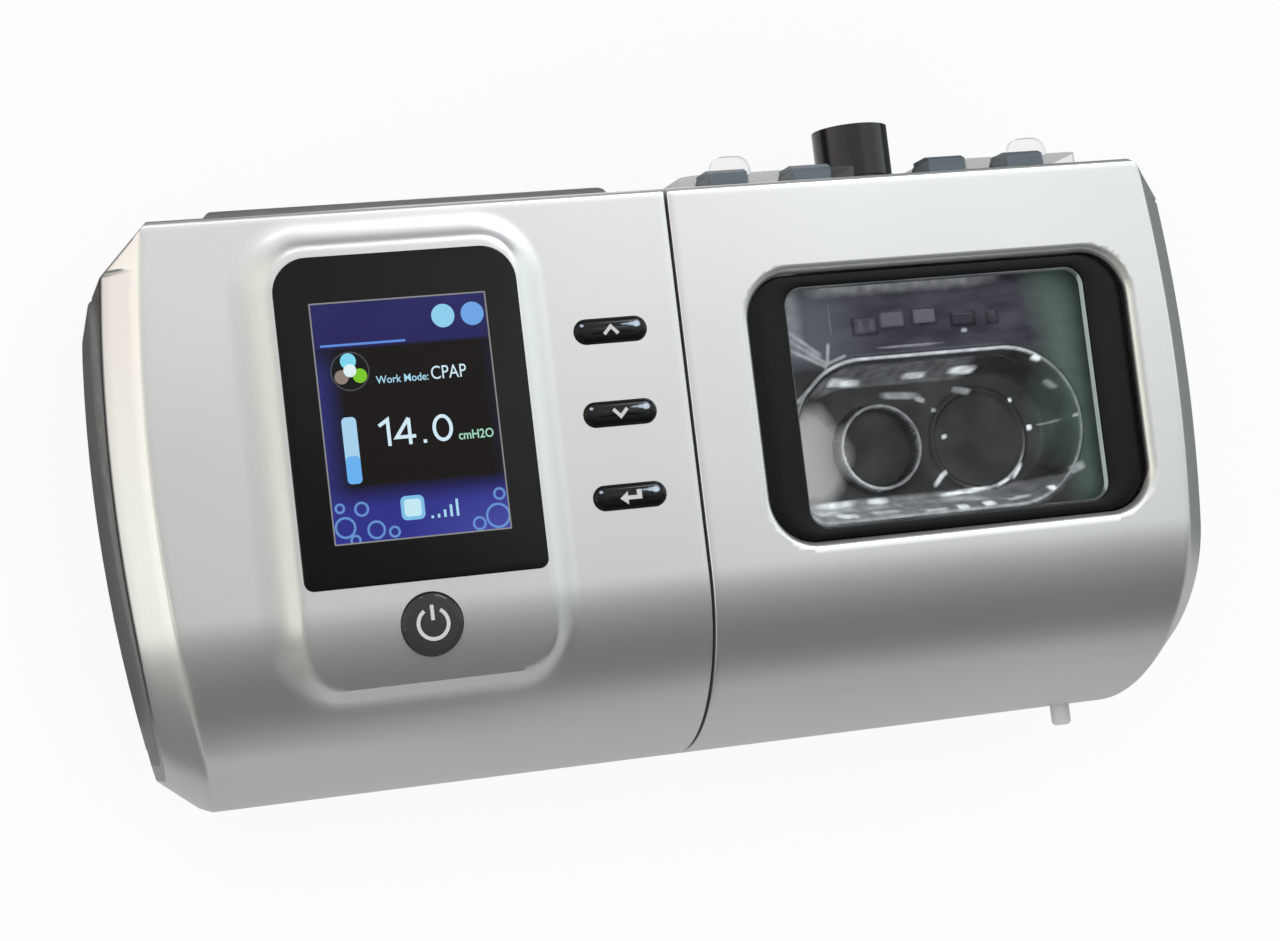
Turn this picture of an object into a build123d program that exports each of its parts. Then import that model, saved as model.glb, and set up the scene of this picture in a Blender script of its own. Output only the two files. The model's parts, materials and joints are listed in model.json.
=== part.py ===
from build123d import *
import math
import os

os.makedirs("parts", exist_ok=True)

# ------------------------------------------------------------------ driving dimensions, millimetres
# X runs from left to right, Y from front to back and Z up from the table. The blower unit lies
# left of the seam at X = 0 and the humidifier right of it. The back is where the hose leaves.

# Case, the same for both modules
case_half_width = 159.0      # seam to the widest point of an end wall
case_depth = 157.2
case_height = 102.0
front_y = -85.2
foot_height = 3.0
wall = 2.5
seam_gap = 0.8               # between the two modules
front_radius = 50.0          # waterfall front
end_barrel_radius = 480.0    # the end walls are barrel shaped in plan
end_barrel_y = 8.9           # where they are widest
end_lean = 4.8               # degrees, and they draw in towards the base
end_chamfer = 10.0
rear_corner_cut = 11.0
skirt = 14.5                 # how far the upper shell wraps down the ends and the back
cheek_inset = 18.0           # side cheek of the lower shell, measured in from the skin
cheek_proud = 2.0
cheek_shift = 9.8            # its barrel lies this far behind the wall's, so it fades to the front
cheek_rear_margin = 16.1
cheek_corner = 8.0
cheek_rim = 2.0
fit_gap = 0.3                # between pieces that move or drop in
snug_gap = 0.1               # between pieces that are glued or clipped together
running_gap = 0.05           # shaft in its hole

# Raised plateau around the screen, and what sits on it. A shift is measured from the middle of
# the module or of the plateau, a margin from the nearest side of the case.
screen_shift_x = 0.4
screen_shift_y = 9.75
plateau_rise = 3.0
plateau_width = 91.0
plateau_rear_margin = 2.1
plateau_front_margin = 23.6
plateau_corner = 22.0
plateau_flank = 9.5
plateau_flank_drop = 2.9
lens_width = 66.9
lens_height = 88.6
lens_shift_y = 10.25
lens_thickness = 1.5
lens_proud = 0.2
lens_rear_corner = 9.7
lens_front_corner = 2.7
lcd_width = 48.6
lcd_height = 64.8
lcd_margin = 2.5
display_depth = 12.0         # board face below the ceiling

# Keys
power_key_radius = 8.5
power_key_shift_x = 0.3
power_key_shift_y = 45.75
pill_length = 20.9
pill_width = 6.8
pill_x = -20.6
pill_shift_y = 6.15          # middle key
pill_pitch = 23.0
key_proud = 1.3
key_travel = 0.8
key_flange = 1.3
key_flange_thickness = 1.2
key_stem_radius = 2.5
key_gap = 0.15
switch_size = 6.0
switch_height = 3.5
board_thickness = 1.6

# Blower, axis upright
blower_x = -52.0
blower_front_margin = 71.2
volute_radius = 40.0
volute_wall = 2.5
volute_floor_z = 38.0
volute_roof_z = 71.0
motor_can_radius = 24.0
motor_floor_z = 15.0
eye_radius = 14.0
duct_radius = 10.0
duct_wall = 1.6
duct_offset = 28.0           # duct axis behind the blower axis
duct_z = 56.0
shaft_radius = 2.0
bearing_radius = 5.0
bearing_width = 3.0
rotor_radius = 9.4
rotor_gap = 0.6
impeller_radius = 34.0
impeller_hub_radius = 8.0
blade_height = 14.0
blade_thickness = 1.2
blade_count = 9
bush_radius = 5.0
bush_circle_radius = 17.0

# Air port between the modules
nozzle_reach = 8.0
peg_radius = 3.0
peg_reach = 5.0
peg_front_margin = 29.2
peg_rear_margin = 16.0
peg_z = 30.0
gasket_wall = 2.1
socket_wall = 2.0

# Back panel of the blower unit
panel_end_margin = 33.0
panel_right_x = -11.5
panel_proud = 4.8
panel_low_z = 12.0
panel_high_z = 88.0
panel_round = 3.0
filter_panel_margin = 20.0
filter_z = 50.0
filter_size = 32.0
filter_thickness = 4.0
cover_border = 3.0
cover_thickness = 2.4
cover_pin_radius = 1.0
cover_pin_reach = 1.5
louvre_count = 5
louvre_height = 2.4
jack_x = -30.0
jack_z = 40.0
jack_radius = 5.5
jack_bore_radius = 2.75
jack_pin_radius = 1.0
jack_depth = 12.0
card_muffler_margin = 18.0
card_z = 23.0
card_width = 26.0
card_height = 3.6
card_depth = 30.0
door_border = 2.5
door_thickness = 1.6
door_pin_radius = 0.5

# Inside the blower unit
muffler_end_margin = 21.0
muffler_rear_margin = 8.0
muffler_length = 54.0
muffler_depth = 36.0
muffler_height = 70.0
muffler_wall = 2.0
foam_gap = 0.5
control_end_margin = 21.0
control_front_margin = 23.2
control_width = 40.0
control_gap = 8.0            # control board to the muffler behind it
standoff_height = 6.5
standoff_radius = 3.0
tube_radius = 2.0
tube_bend = 10.0
tube_z = 82.0

# Window of the humidifier
window_shift_x = 0.5
window_rear_margin = 64.5
frame_length = 116.5
frame_width = 75.6
frame_corner = 13.0
collar_wall = 2.0
frame_thickness = 4.0
frame_depth = 3.4            # top of the frame below the face
lip_width = 2.3
opening_length = 93.0
opening_width = 68.5
opening_corner = 5.5
pane_thickness = 2.0
pane_border = 2.0
ledge_width = 3.0
ledge_thickness = 2.0

# Water tank
tank_left_x = 12.0
tank_end_margin = 31.0
tank_front_margin = 25.2
tank_bottom_z = 24.0
tank_top_z = 94.0
tank_wall = 2.0
tank_corner = 8.0
lid_thickness = 2.0
seal_thickness = 1.0
bay_gap = 0.6
flange_left_x = 7.2
flange_overhang = 2.1
flange_low_z = 16.0
flange_high_z = 100.0
flange_proud = 3.7
flange_gap = 0.4             # flange to the back wall
flange_corner = 4.0
pocket_length = 88.0
pocket_width = 45.6
pocket_end_margin = 5.0
pocket_shift_y = 9.8
pocket_depth = 14.0
pocket_draft = 20.0
pocket_wall = 1.6
ring_shift_x = 16.0
ring_shift_y = 3.8
ring_radius = 13.0
ring_wall = 1.8
rib_length = 9.0
rib_width = 5.0
rib_height = 0.6
rib_shift_y = 27.5
rib_pitch = 15.0
rib_count = 5

# Air outlet, a 22 mm male cone for the hose
outlet_shift_x = 0.5
outlet_z = 72.0
outlet_radius = 11.15
outlet_bore_radius = 9.3
outlet_reach = 15.7          # beyond the flange
outlet_neck_radius = 10.6    # behind the cone, where the flange goes round it
outlet_neck_proud = 0.5      # beyond the flange
outlet_collar_radius = 13.5
outlet_notch_gap = 0.35
outlet_collar_thickness = 2.0

# Clips on the tank flange, the outer two set from its ends and the inner two from the outlet
clip_left_margin = 9.8
clip_right_margin = 14.1
clip_outlet_left = 23.4
clip_outlet_right = 18.7
clip_width = 11.4
clip_depth = 4.9
clip_pivot_z = 86.5
clip_high_z = 97.6
clip_pin_radius = 1.0
clip_pin_inset = 1.9         # pivot to the clip's inner face
clip_chamfer = 1.2
tab_proud = 8.6
tab_width = 12.0
tab_corner = 4.0
tab_thickness = 2.0

# Heater under the tank
heater_shift_y = 2.5
heater_radius = 40.0
heater_plate_thickness = 3.0
heater_element_thickness = 0.6
insulator_thickness = 6.0
pedestal_wall = 3.2
rail_width = 8.0
heater_board_margin = 21.0
heater_board_height = 55.0
heater_board_length = 70.0

# Eject pin in the front wall
pin_tank_margin = 4.0
pin_z = 52.0
pin_radius = 2.9
pin_proud = 6.2
pin_travel = 4.0
pin_collar_radius = 5.0
pin_collar_thickness = 1.5
pin_guide_length = 12.7
pin_guide_wall = 2.4
pin_tail = 3.7

# Feet and screws, the same on both modules
foot_radius = 8.0
foot_edge = 1.0
foot_seam_margin = 22.0
foot_end_margin = 31.0
foot_front_margin = 33.2
foot_rear_margin = 20.0
screw_radius = 1.5
screw_head_radius = 3.0
screw_length = 9.0
screw_seam_margin = 7.0
screw_end_margin = 17.0
screw_front_margin = 45.2
screw_rear_margin = 27.0
boss_wall = 1.8

# ------------------------------------------------------------------ sizes that follow from these
rear_y = front_y + case_depth
case_bottom = foot_height
face_z = case_bottom + case_height
widest_z = face_z - end_chamfer
floor_z = case_bottom + wall
ceiling_z = face_z - wall
arc_y = front_y + front_radius
arc_z = face_z - front_radius
plateau_z = face_z + plateau_rise
module_x = case_half_width / 2
cheek_rear_y = rear_y - cheek_rear_margin
plateau_front_y = front_y + plateau_front_margin
plateau_rear_y = rear_y - plateau_rear_margin
plateau_y = (plateau_front_y + plateau_rear_y) / 2
screen_x = -module_x - screen_shift_x
screen_y = plateau_y + screen_shift_y
lens_y = plateau_y + lens_shift_y
power_key_x = screen_x - power_key_shift_x
power_key_y = plateau_y - power_key_shift_y
pill_y = plateau_y + pill_shift_y
blower_y = front_y + blower_front_margin
peg_y = (front_y + peg_front_margin, rear_y - peg_rear_margin)
panel_left_x = panel_end_margin - case_half_width
filter_x = panel_left_x + filter_panel_margin
muffler_left_x = muffler_end_margin - case_half_width
muffler_right_x = muffler_left_x + muffler_length
muffler_rear_y = rear_y - muffler_rear_margin
muffler_front_y = muffler_rear_y - muffler_depth
card_x = muffler_right_x + card_muffler_margin
control_left_x = control_end_margin - case_half_width
control_front_y = front_y + control_front_margin
control_rear_y = muffler_front_y - control_gap
window_x = module_x - window_shift_x
window_y = rear_y - window_rear_margin
tank_right_x = case_half_width - tank_end_margin
tank_front_y = front_y + tank_front_margin
tank_x = (tank_left_x + tank_right_x) / 2
flange_right_x = tank_right_x + flange_overhang
pocket_x = tank_right_x - pocket_end_margin - pocket_length / 2
pocket_y = window_y - pocket_shift_y
ring_x = pocket_x - ring_shift_x
ring_y = pocket_y - ring_shift_y
rib_y = window_y + rib_shift_y
outlet_x = tank_x + outlet_shift_x
clip_centres = (
    tank_left_x + clip_left_margin,
    outlet_x - clip_outlet_left,
    outlet_x + clip_outlet_right,
    tank_right_x - clip_right_margin,
)
heater_x = tank_x
heater_y = window_y - heater_shift_y
heater_board_x = case_half_width - heater_board_margin
pin_x = tank_right_x - pin_tank_margin
foot_x = (foot_seam_margin, case_half_width - foot_end_margin)
foot_y = (front_y + foot_front_margin, rear_y - foot_rear_margin)
screw_x = (screw_seam_margin, case_half_width - screw_end_margin)
screw_y = (front_y + screw_front_margin, rear_y - screw_rear_margin)
beyond = 20.0                # cutters run this far past what they cut
standing = (Align.CENTER, Align.CENTER, Align.MIN)
hanging = (Align.CENTER, Align.CENTER, Align.MAX)
diagonal = 2 - math.sqrt(2)  # how fast a 45 degree corner shrinks when its walls are inset


def half_width_at(y, inset):
    """Distance from the seam to the end wall at its widest height and depth y, inset in its skin."""
    bulge = math.sqrt((end_barrel_radius - inset) ** 2 - (y - end_barrel_y) ** 2)
    return case_half_width - end_barrel_radius + bulge


def side_profile(inset, rear, base):
    """Side view of the case: flat top, quarter-round front, square back and base."""
    top = face_z - inset
    front = front_y + inset
    with BuildSketch(Plane.YZ.offset(-seam_gap / 2 - max(inset, 0))) as profile:
        with BuildLine():
            Polyline((arc_y, top), (rear, top), (rear, base), (front, base), (front, arc_z))
            RadiusArc((front, arc_z), (arc_y, top), front_radius - inset)
        make_face()
    return profile.sketch


def end_cone(inset, shift):
    """Upright cone whose side is the left end wall: barrel-shaped in plan and leaning inwards."""
    base_radius = end_barrel_radius - inset - widest_z * math.tan(math.radians(end_lean))
    top_radius = base_radius + (face_z + beyond) * math.tan(math.radians(end_lean))
    with BuildPart() as cone:
        with Locations((end_barrel_radius - case_half_width, end_barrel_y + shift, 0)):
            Cone(base_radius, top_radius, face_z + beyond, align=standing)
    return cone.part


def case_block(inset):
    """Solid left half of the case, inset inside its skin, with its sloping end edge and cut corner."""
    rear = rear_y - inset
    base = case_bottom + inset
    slope = end_chamfer - inset * diagonal
    cut = rear_corner_cut - inset * diagonal
    end_x = -half_width_at(rear, inset)
    profile = side_profile(inset, rear, base)
    with BuildPart() as block:
        extrude(profile, amount=-case_half_width - beyond)
        add(end_cone(inset, 0), mode=Mode.INTERSECT)
        end_edges = block.edges().filter_by(lambda edge: edge.center().X < end_x + beyond)
        front_edges = end_edges.filter_by(lambda edge: edge.center().Y < rear - 1)
        upper_edges = front_edges.filter_by(lambda edge: edge.center().Z > arc_z)
        chamfer(upper_edges.filter_by(lambda edge: edge.length > beyond), slope)
        with BuildSketch(Plane.XY):
            with BuildLine():
                Polyline(
                    (end_x + cut, rear),
                    (end_x + cut - beyond, rear - beyond),
                    (end_x - beyond, rear + beyond),
                    (end_x + cut, rear),
                )
            make_face()
        extrude(amount=face_z + beyond, mode=Mode.SUBTRACT)
    return block.part


def lower_region(inset):
    """All the space behind and below a line that runs inset inside the top and the front."""
    profile = side_profile(inset, rear_y + beyond, case_bottom - beyond)
    with BuildPart() as region:
        extrude(profile, amount=2 * case_half_width, both=True)
    return region.part


def cheek_block():
    """Left side cheek: a plate that stands proud of the end wall, most of all at the back."""
    profile = side_profile(cheek_inset, cheek_rear_y, floor_z)
    with BuildPart() as cheek:
        extrude(profile, amount=-case_half_width - beyond)
        rear_edges = cheek.edges().filter_by(Axis.X).group_by(Axis.Y)[-1]
        fillet(rear_edges, cheek_corner)
        split(bisect_by=Plane.YZ.offset(beyond - case_half_width), keep=Keep.BOTTOM)
        add(end_cone(-cheek_proud, cheek_shift), mode=Mode.INTERSECT)
        fillet(cheek.faces().sort_by(Axis.X)[0].edges(), cheek_rim)
    return cheek.part


def rounded_box(low, high, radius, axis=Axis.Z):
    """A box between two corners, with the four edges along one axis rounded."""
    with BuildPart() as box:
        with Locations(((low[0] + high[0]) / 2, (low[1] + high[1]) / 2, (low[2] + high[2]) / 2)):
            Box(high[0] - low[0], high[1] - low[1], high[2] - low[2])
        if radius > 0:
            fillet(box.edges().filter_by(axis), radius)
    return box.part


def upright(x, y, radius, low, high):
    """A cylinder that stands upright between two heights."""
    with BuildPart() as post:
        with Locations((x, y, (low + high) / 2)):
            Cylinder(radius, high - low)
    return post.part


def along_y(x, z, radius, near, far):
    """A cylinder that lies front to back between two depths."""
    with BuildPart() as rod:
        with Locations((x, (near + far) / 2, z)):
            Cylinder(radius, far - near, rotation=(90, 0, 0))
    return rod.part


def along_x(y, z, radius, left, right):
    """A cylinder that lies left to right between two sides."""
    with BuildPart() as rod:
        with Locations(((left + right) / 2, y, z)):
            Cylinder(radius, right - left, rotation=(0, 90, 0))
    return rod.part


def save(builder, name):
    """Label a finished sub-part and write it to its own STEP file."""
    builder.part.label = name
    export_step(builder.part, "parts/" + name + ".step")


# ------------------------------------------------------------------ solids that both halves share
left_block = case_block(0)
left_core = case_block(wall)
left_cheek = cheek_block()
right_block = mirror(left_block, about=Plane.YZ)
right_core = mirror(left_core, about=Plane.YZ)
right_cheek = mirror(left_cheek, about=Plane.YZ)
below_parting = lower_region(skirt)
foot_places = [(x, y) for x in foot_x for y in foot_y]
screw_places = [(x, y) for x in screw_x for y in screw_y]


def key_hole(radius_or_size, x, y):
    """Cutter for a round or a pill-shaped key, with its sliding gap."""
    with BuildPart() as hole:
        with BuildSketch(Plane.XY.offset(arc_z)):
            with Locations((x, y)):
                if radius_or_size is None:
                    SlotOverall(pill_length + 2 * key_gap, pill_width + 2 * key_gap)
                else:
                    Circle(radius_or_size + key_gap)
        extrude(amount=front_radius + beyond)
    return hole.part


def lens_outline(plane, gap):
    """Sketch of the display panel, grown by gap, on a plane."""
    with BuildSketch(plane) as outline:
        with Locations((screen_x, lens_y)):
            Rectangle(lens_width + 2 * gap, lens_height + 2 * gap)
        fillet(outline.vertices().group_by(Axis.Y)[-1], lens_rear_corner)
        fillet(outline.vertices().group_by(Axis.Y)[0], lens_front_corner)
    return outline.sketch


# ------------------------------------------------------------------ blower unit: case
pill_places = [(pill_x, pill_y + pill_pitch * row) for row in (1, 0, -1)]
lens_floor_z = plateau_z + lens_proud - lens_thickness
plateau_profile = side_profile(-plateau_rise, rear_y, case_bottom)
lens_pocket = lens_outline(Plane.XY.offset(lens_floor_z), snug_gap)
key_holes = [key_hole(power_key_radius, power_key_x, power_key_y)]
for pill_place in pill_places:
    key_holes.append(key_hole(None, *pill_place))

with BuildPart() as plateau:
    extrude(plateau_profile, amount=-case_half_width)
    with BuildSketch(Plane.XY.offset(arc_z)) as plateau_plan:
        with Locations((screen_x, (plateau_front_y + plateau_rear_y) / 2)):
            Rectangle(plateau_width, plateau_rear_y - plateau_front_y)
        fillet(plateau_plan.vertices(), plateau_corner)
    extrude(amount=front_radius + beyond, mode=Mode.INTERSECT)
    plateau_rim = plateau.edges().filter_by(
        lambda edge: edge.center().Z > face_z - plateau_rise - wall and abs(edge.tangent_at(0.5).Z) < 0.9
    )
    ridge = plateau_rim.filter_by(
        lambda edge: (edge.center() - Vector(screen_x, arc_y, plateau_z)).length > 1
    )
    chamfer(ridge, length=plateau_flank, length2=plateau_flank_drop)


def screw_posts(side, block):
    """Posts that hang from the ceiling of one module to its floor, with pilot holes for the screws."""
    with BuildPart() as posts:
        with BuildSketch(Plane.XY.offset(floor_z)):
            with Locations([(side * x, y) for x, y in screw_places]):
                Circle(screw_radius + boss_wall)
        extrude(amount=face_z)
        add(block, mode=Mode.INTERSECT)
        with BuildSketch(Plane.XY.offset(floor_z)):
            with Locations([(side * x, y) for x, y in screw_places]):
                Circle(screw_radius)
        extrude(amount=screw_length, mode=Mode.SUBTRACT)
    return posts.part


main_posts = screw_posts(-1, left_block)
humidifier_posts = screw_posts(1, right_block)
board_top_z = ceiling_z - display_depth
board_post_reach = 35.7          # left posts, from the middle of the screen
board_key_reach = 5.6            # right posts, from the middle of the pill keys
board_front_reach = 58.4
board_rear_reach = 44.6
board_post_x = (screen_x - board_post_reach, pill_x + board_key_reach)
board_post_y = (lens_y - board_front_reach, lens_y + board_rear_reach)
board_places = [(x, y) for x in board_post_x for y in board_post_y]
board_post_radius = 2.2
lcd_open_width = lcd_width + 2 * lcd_margin
lcd_open_height = lcd_height + 2 * lcd_margin

with BuildPart() as main_upper_shell:
    add(left_block)
    add(plateau.part)
    add(left_core, mode=Mode.SUBTRACT)
    add(below_parting, mode=Mode.SUBTRACT)
    add(main_posts)
    with BuildSketch(Plane.XY.offset(board_top_z)):
        with Locations(board_places):
            Circle(board_post_radius)
    extrude(amount=display_depth + wall / 2)
    extrude(lens_pocket, amount=beyond, mode=Mode.SUBTRACT)
    with Locations((screen_x, screen_y, face_z)):
        Box(lcd_open_width, lcd_open_height, beyond, mode=Mode.SUBTRACT)
    for hole in key_holes:
        add(hole, mode=Mode.SUBTRACT)
save(main_upper_shell, "main_upper_shell")

# The blower sits on the floor of this shell, and its nozzle and pegs reach across the seam.
panel_y = rear_y + panel_proud
seam_wall_x = -seam_gap / 2 - wall
port_y = blower_y + duct_offset
cover_size = filter_size + 2 * cover_border
cover_inner_y = panel_y - cover_thickness
cover_hinge_z = filter_z - cover_size / 2 + cover_thickness / 2
cover_hinge_y = panel_y - cover_thickness / 2
door_width = card_width + 2 * door_border
door_height = card_height + 2 * door_border
door_hinge_z = card_z - door_height / 2 + door_thickness / 2
door_hinge_y = panel_y - door_thickness / 2
rear_panel = rounded_box(
    (panel_left_x, rear_y - wall, panel_low_z), (panel_right_x, panel_y, panel_high_z), 0
)

with BuildPart() as raised_panel:
    add(rear_panel)
    fillet(raised_panel.faces().sort_by(Axis.Y)[-1].edges(), panel_round)


def pocket_in_panel(x, z, width, height, thickness, pin_radius, pin_y, pin_z):
    """Cutter for a hinged cover in the back panel, with the blind holes for its two pivots."""
    depth = thickness + snug_gap
    with BuildPart() as pocket:
        with Locations((x, panel_y - depth / 2 + beyond / 2, z)):
            Box(width + 2 * fit_gap, depth + beyond, height + 2 * fit_gap)
        with Locations((x, pin_y, pin_z)):
            Cylinder(
                pin_radius + running_gap,
                width + 2 * (cover_pin_reach + fit_gap + running_gap),
                rotation=(0, 90, 0),
            )
    return pocket.part


filter_pocket = pocket_in_panel(
    filter_x,
    filter_z,
    cover_size,
    cover_size,
    cover_thickness,
    cover_pin_radius,
    cover_hinge_y,
    cover_hinge_z,
)
door_pocket = pocket_in_panel(
    card_x,
    card_z,
    door_width,
    door_height,
    door_thickness,
    door_pin_radius,
    door_hinge_y,
    door_hinge_z,
)
grid_hole = 5.0
grid_pitch = 7.0
grid_count = 4

with BuildPart() as main_lower_shell:
    add(left_block)
    add(left_cheek)
    add(left_core, mode=Mode.SUBTRACT)
    add(below_parting, mode=Mode.INTERSECT)
    add(raised_panel.part)
    add(filter_pocket, mode=Mode.SUBTRACT)
    add(door_pocket, mode=Mode.SUBTRACT)
    with Locations((filter_x, cover_inner_y - filter_thickness / 2, filter_z)):
        Box(filter_size, filter_thickness, filter_size, mode=Mode.SUBTRACT)
    with BuildSketch(Plane.XZ.offset(-rear_y + 2 * wall)):
        with Locations((filter_x, filter_z)):
            with GridLocations(grid_pitch, grid_pitch, grid_count, grid_count):
                Rectangle(grid_hole, grid_hole)
    extrude(amount=-beyond, mode=Mode.SUBTRACT)
    with Locations((card_x, rear_y, card_z)):
        Box(card_width, beyond, card_height, mode=Mode.SUBTRACT)
    with Locations((jack_x, rear_y, jack_z)):
        Cylinder(jack_radius, beyond, rotation=(90, 0, 0), mode=Mode.SUBTRACT)
    with Locations((seam_wall_x + wall, port_y, duct_z)):
        Cylinder(duct_radius, 2 * nozzle_reach, rotation=(0, 90, 0))
        Cylinder(duct_radius - duct_wall, beyond, rotation=(0, 90, 0), mode=Mode.SUBTRACT)
    with Locations([(seam_wall_x + wall + peg_reach / 2, y, peg_z) for y in peg_y]):
        Cylinder(peg_radius, peg_reach, rotation=(0, 90, 0))
    with Locations([(-x, y, case_bottom) for x, y in screw_places]):
        CounterSinkHole(screw_radius, screw_head_radius, counter_sink_angle=90)
save(main_lower_shell, "main_lower_shell")

# ------------------------------------------------------------------ blower unit: screen and keys
with BuildPart() as display_lens:
    extrude(lens_outline(Plane.XY.offset(lens_floor_z), 0), amount=lens_thickness)
save(display_lens, "display_lens")

module_border = 9.0
module_top_z = lens_floor_z - snug_gap

with BuildPart() as display_module:
    with Locations((screen_x, screen_y, board_top_z)):
        Box(
            lcd_width + 2 * module_border,
            lcd_height + 2 * module_border,
            display_depth - snug_gap,
            align=standing,
        )
        Box(
            lcd_open_width - fit_gap,
            lcd_open_height - fit_gap,
            module_top_z - board_top_z,
            align=standing,
        )
save(display_module, "display_module")

board_edge = 2.6
board_low = (board_post_x[0] - board_edge, board_post_y[0] - board_edge, board_top_z - board_thickness)
board_high = (board_post_x[1] + board_edge, board_post_y[1] + board_edge, board_top_z)

with BuildPart() as display_board:
    add(rounded_box(board_low, board_high, board_edge))
save(display_board, "display_board")

switch_places = [(power_key_x, power_key_y)] + pill_places
switch_top_z = board_top_z + switch_height
stem_low_z = switch_top_z + key_travel + snug_gap
switch_plunger_radius = 1.75
switch_plunger_height = 0.7

with BuildPart() as tactile_switches:
    with Locations([(x, y, board_top_z) for x, y in switch_places]):
        Box(
            switch_size,
            switch_size,
            switch_height - switch_plunger_height,
            align=standing,
        )
        Cylinder(switch_plunger_radius, switch_height, align=standing)
save(tactile_switches, "tactile_switches")

power_skin_z = arc_z + math.sqrt((front_radius + plateau_rise) ** 2 - (power_key_y - arc_y) ** 2)
power_top_z = power_skin_z + key_proud
power_flange_radius = power_key_radius + key_flange
power_ceiling_reach = power_key_y - power_flange_radius - arc_y
power_flange_z = arc_z + math.sqrt((front_radius - wall) ** 2 - power_ceiling_reach**2) - fit_gap
key_edge = 1.1

with BuildPart() as power_button:
    with Locations((power_key_x, power_key_y, stem_low_z)):
        Cylinder(key_stem_radius, power_top_z - stem_low_z, align=standing)
    with Locations((power_key_x, power_key_y, power_flange_z)):
        Cylinder(power_flange_radius, key_flange_thickness, align=hanging)
    with Locations((power_key_x, power_key_y, power_top_z)):
        Cylinder(
            power_key_radius,
            power_top_z - power_flange_z + key_flange_thickness / 2,
            align=hanging,
        )
    fillet(power_button.faces().sort_by(Axis.Z)[-1].edges(), key_edge)
save(power_button, "power_button")

pill_top_z = face_z + key_proud
pill_flange_z = ceiling_z - fit_gap


def pill_key(x, y):
    """A pill-shaped key cap with a retaining flange and a stem over its switch."""
    with BuildPart() as key:
        with Locations((x, y, stem_low_z)):
            Cylinder(key_stem_radius, pill_flange_z - stem_low_z, align=standing)
        with BuildSketch(Plane.XY.offset(pill_flange_z - key_flange_thickness)):
            with Locations((x, y)):
                SlotOverall(pill_length + 2 * key_flange, pill_width + 2 * key_flange)
        extrude(amount=key_flange_thickness)
        with BuildSketch(Plane.XY.offset(pill_flange_z - key_flange_thickness / 2)):
            with Locations((x, y)):
                SlotOverall(pill_length, pill_width)
        extrude(amount=pill_top_z - pill_flange_z + key_flange_thickness / 2)
        fillet(key.faces().sort_by(Axis.Z)[-1].edges(), key_edge)
    return key.part


for key_name, place in zip(("up_button", "down_button", "enter_button"), pill_places):
    with BuildPart() as pill_button:
        add(pill_key(*place))
    save(pill_button, key_name)

# ------------------------------------------------------------------ blower unit: blower
volute_split_z = duct_z
duct_end_x = -9.0
can_wall = 2.0
duct_run = duct_end_x - blower_x


def blower_housing():
    """Whole blower housing: motor can, fan chamber with an eye in its roof, and outlet duct."""
    with BuildPart() as housing:
        with Locations((blower_x, blower_y, volute_floor_z)):
            Cylinder(volute_radius, volute_roof_z - volute_floor_z, align=standing)
        with Locations((blower_x, blower_y, motor_floor_z)):
            Cylinder(motor_can_radius, volute_floor_z - motor_floor_z, align=standing)
        with Locations((blower_x + duct_run / 2, port_y, duct_z)):
            Cylinder(duct_radius, duct_run, rotation=(0, 90, 0))
        with Locations((blower_x, blower_y, volute_floor_z + bearing_width)):
            Cylinder(
                volute_radius - volute_wall,
                volute_roof_z - volute_floor_z - bearing_width - volute_wall,
                align=standing,
                mode=Mode.SUBTRACT,
            )
        with Locations((blower_x + duct_run / 2 + volute_wall, port_y, duct_z)):
            Cylinder(
                duct_radius - duct_wall,
                duct_run + 2 * volute_wall,
                rotation=(0, 90, 0),
                mode=Mode.SUBTRACT,
            )
        with Locations((blower_x, blower_y, volute_roof_z)):
            Cylinder(eye_radius, beyond, mode=Mode.SUBTRACT)
        with Locations((blower_x, blower_y, motor_floor_z + can_wall)):
            Cylinder(
                motor_can_radius - can_wall,
                volute_floor_z - motor_floor_z - can_wall,
                align=standing,
                mode=Mode.SUBTRACT,
            )
        with Locations((blower_x, blower_y, volute_floor_z)):
            Cylinder(bearing_radius, beyond, mode=Mode.SUBTRACT)
    return housing.part


housing = blower_housing()

with BuildPart() as blower_lower_volute:
    add(housing)
    split(bisect_by=Plane.XY.offset(volute_split_z), keep=Keep.BOTTOM)
save(blower_lower_volute, "blower_lower_volute")

with BuildPart() as blower_upper_volute:
    add(housing)
    split(bisect_by=Plane.XY.offset(volute_split_z), keep=Keep.TOP)
save(blower_upper_volute, "blower_upper_volute")

low_bearing_z = motor_floor_z + can_wall
high_bearing_z = volute_floor_z
rotor_clearance = 1.5          # above and below the turning pieces
impeller_floor_z = volute_floor_z + bearing_width + rotor_clearance
impeller_disc = 1.5
blade_length = 24.0
blade_ring = 21.0
blade_angle = 35.0

with BuildPart() as blower_impeller:
    with Locations((blower_x, blower_y, impeller_floor_z)):
        Cylinder(impeller_radius, impeller_disc, align=standing)
        Cylinder(impeller_hub_radius, blade_height, align=standing)
    with BuildSketch(Plane.XY.offset(impeller_floor_z)):
        with Locations((blower_x, blower_y)):
            with PolarLocations(blade_ring, blade_count):
                Rectangle(blade_length, blade_thickness, rotation=blade_angle)
    extrude(amount=blade_height)
    with Locations((blower_x, blower_y, impeller_floor_z)):
        Cylinder(shaft_radius, beyond * 2, mode=Mode.SUBTRACT)
save(blower_impeller, "blower_impeller")

shaft_low_z = low_bearing_z + snug_gap
shaft_high_z = impeller_floor_z + blade_height

with BuildPart() as blower_shaft:
    add(upright(blower_x, blower_y, shaft_radius, shaft_low_z, shaft_high_z))
save(blower_shaft, "blower_shaft")

rotor_low_z = low_bearing_z + bearing_width + rotor_clearance
rotor_high_z = high_bearing_z - rotor_clearance

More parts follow.
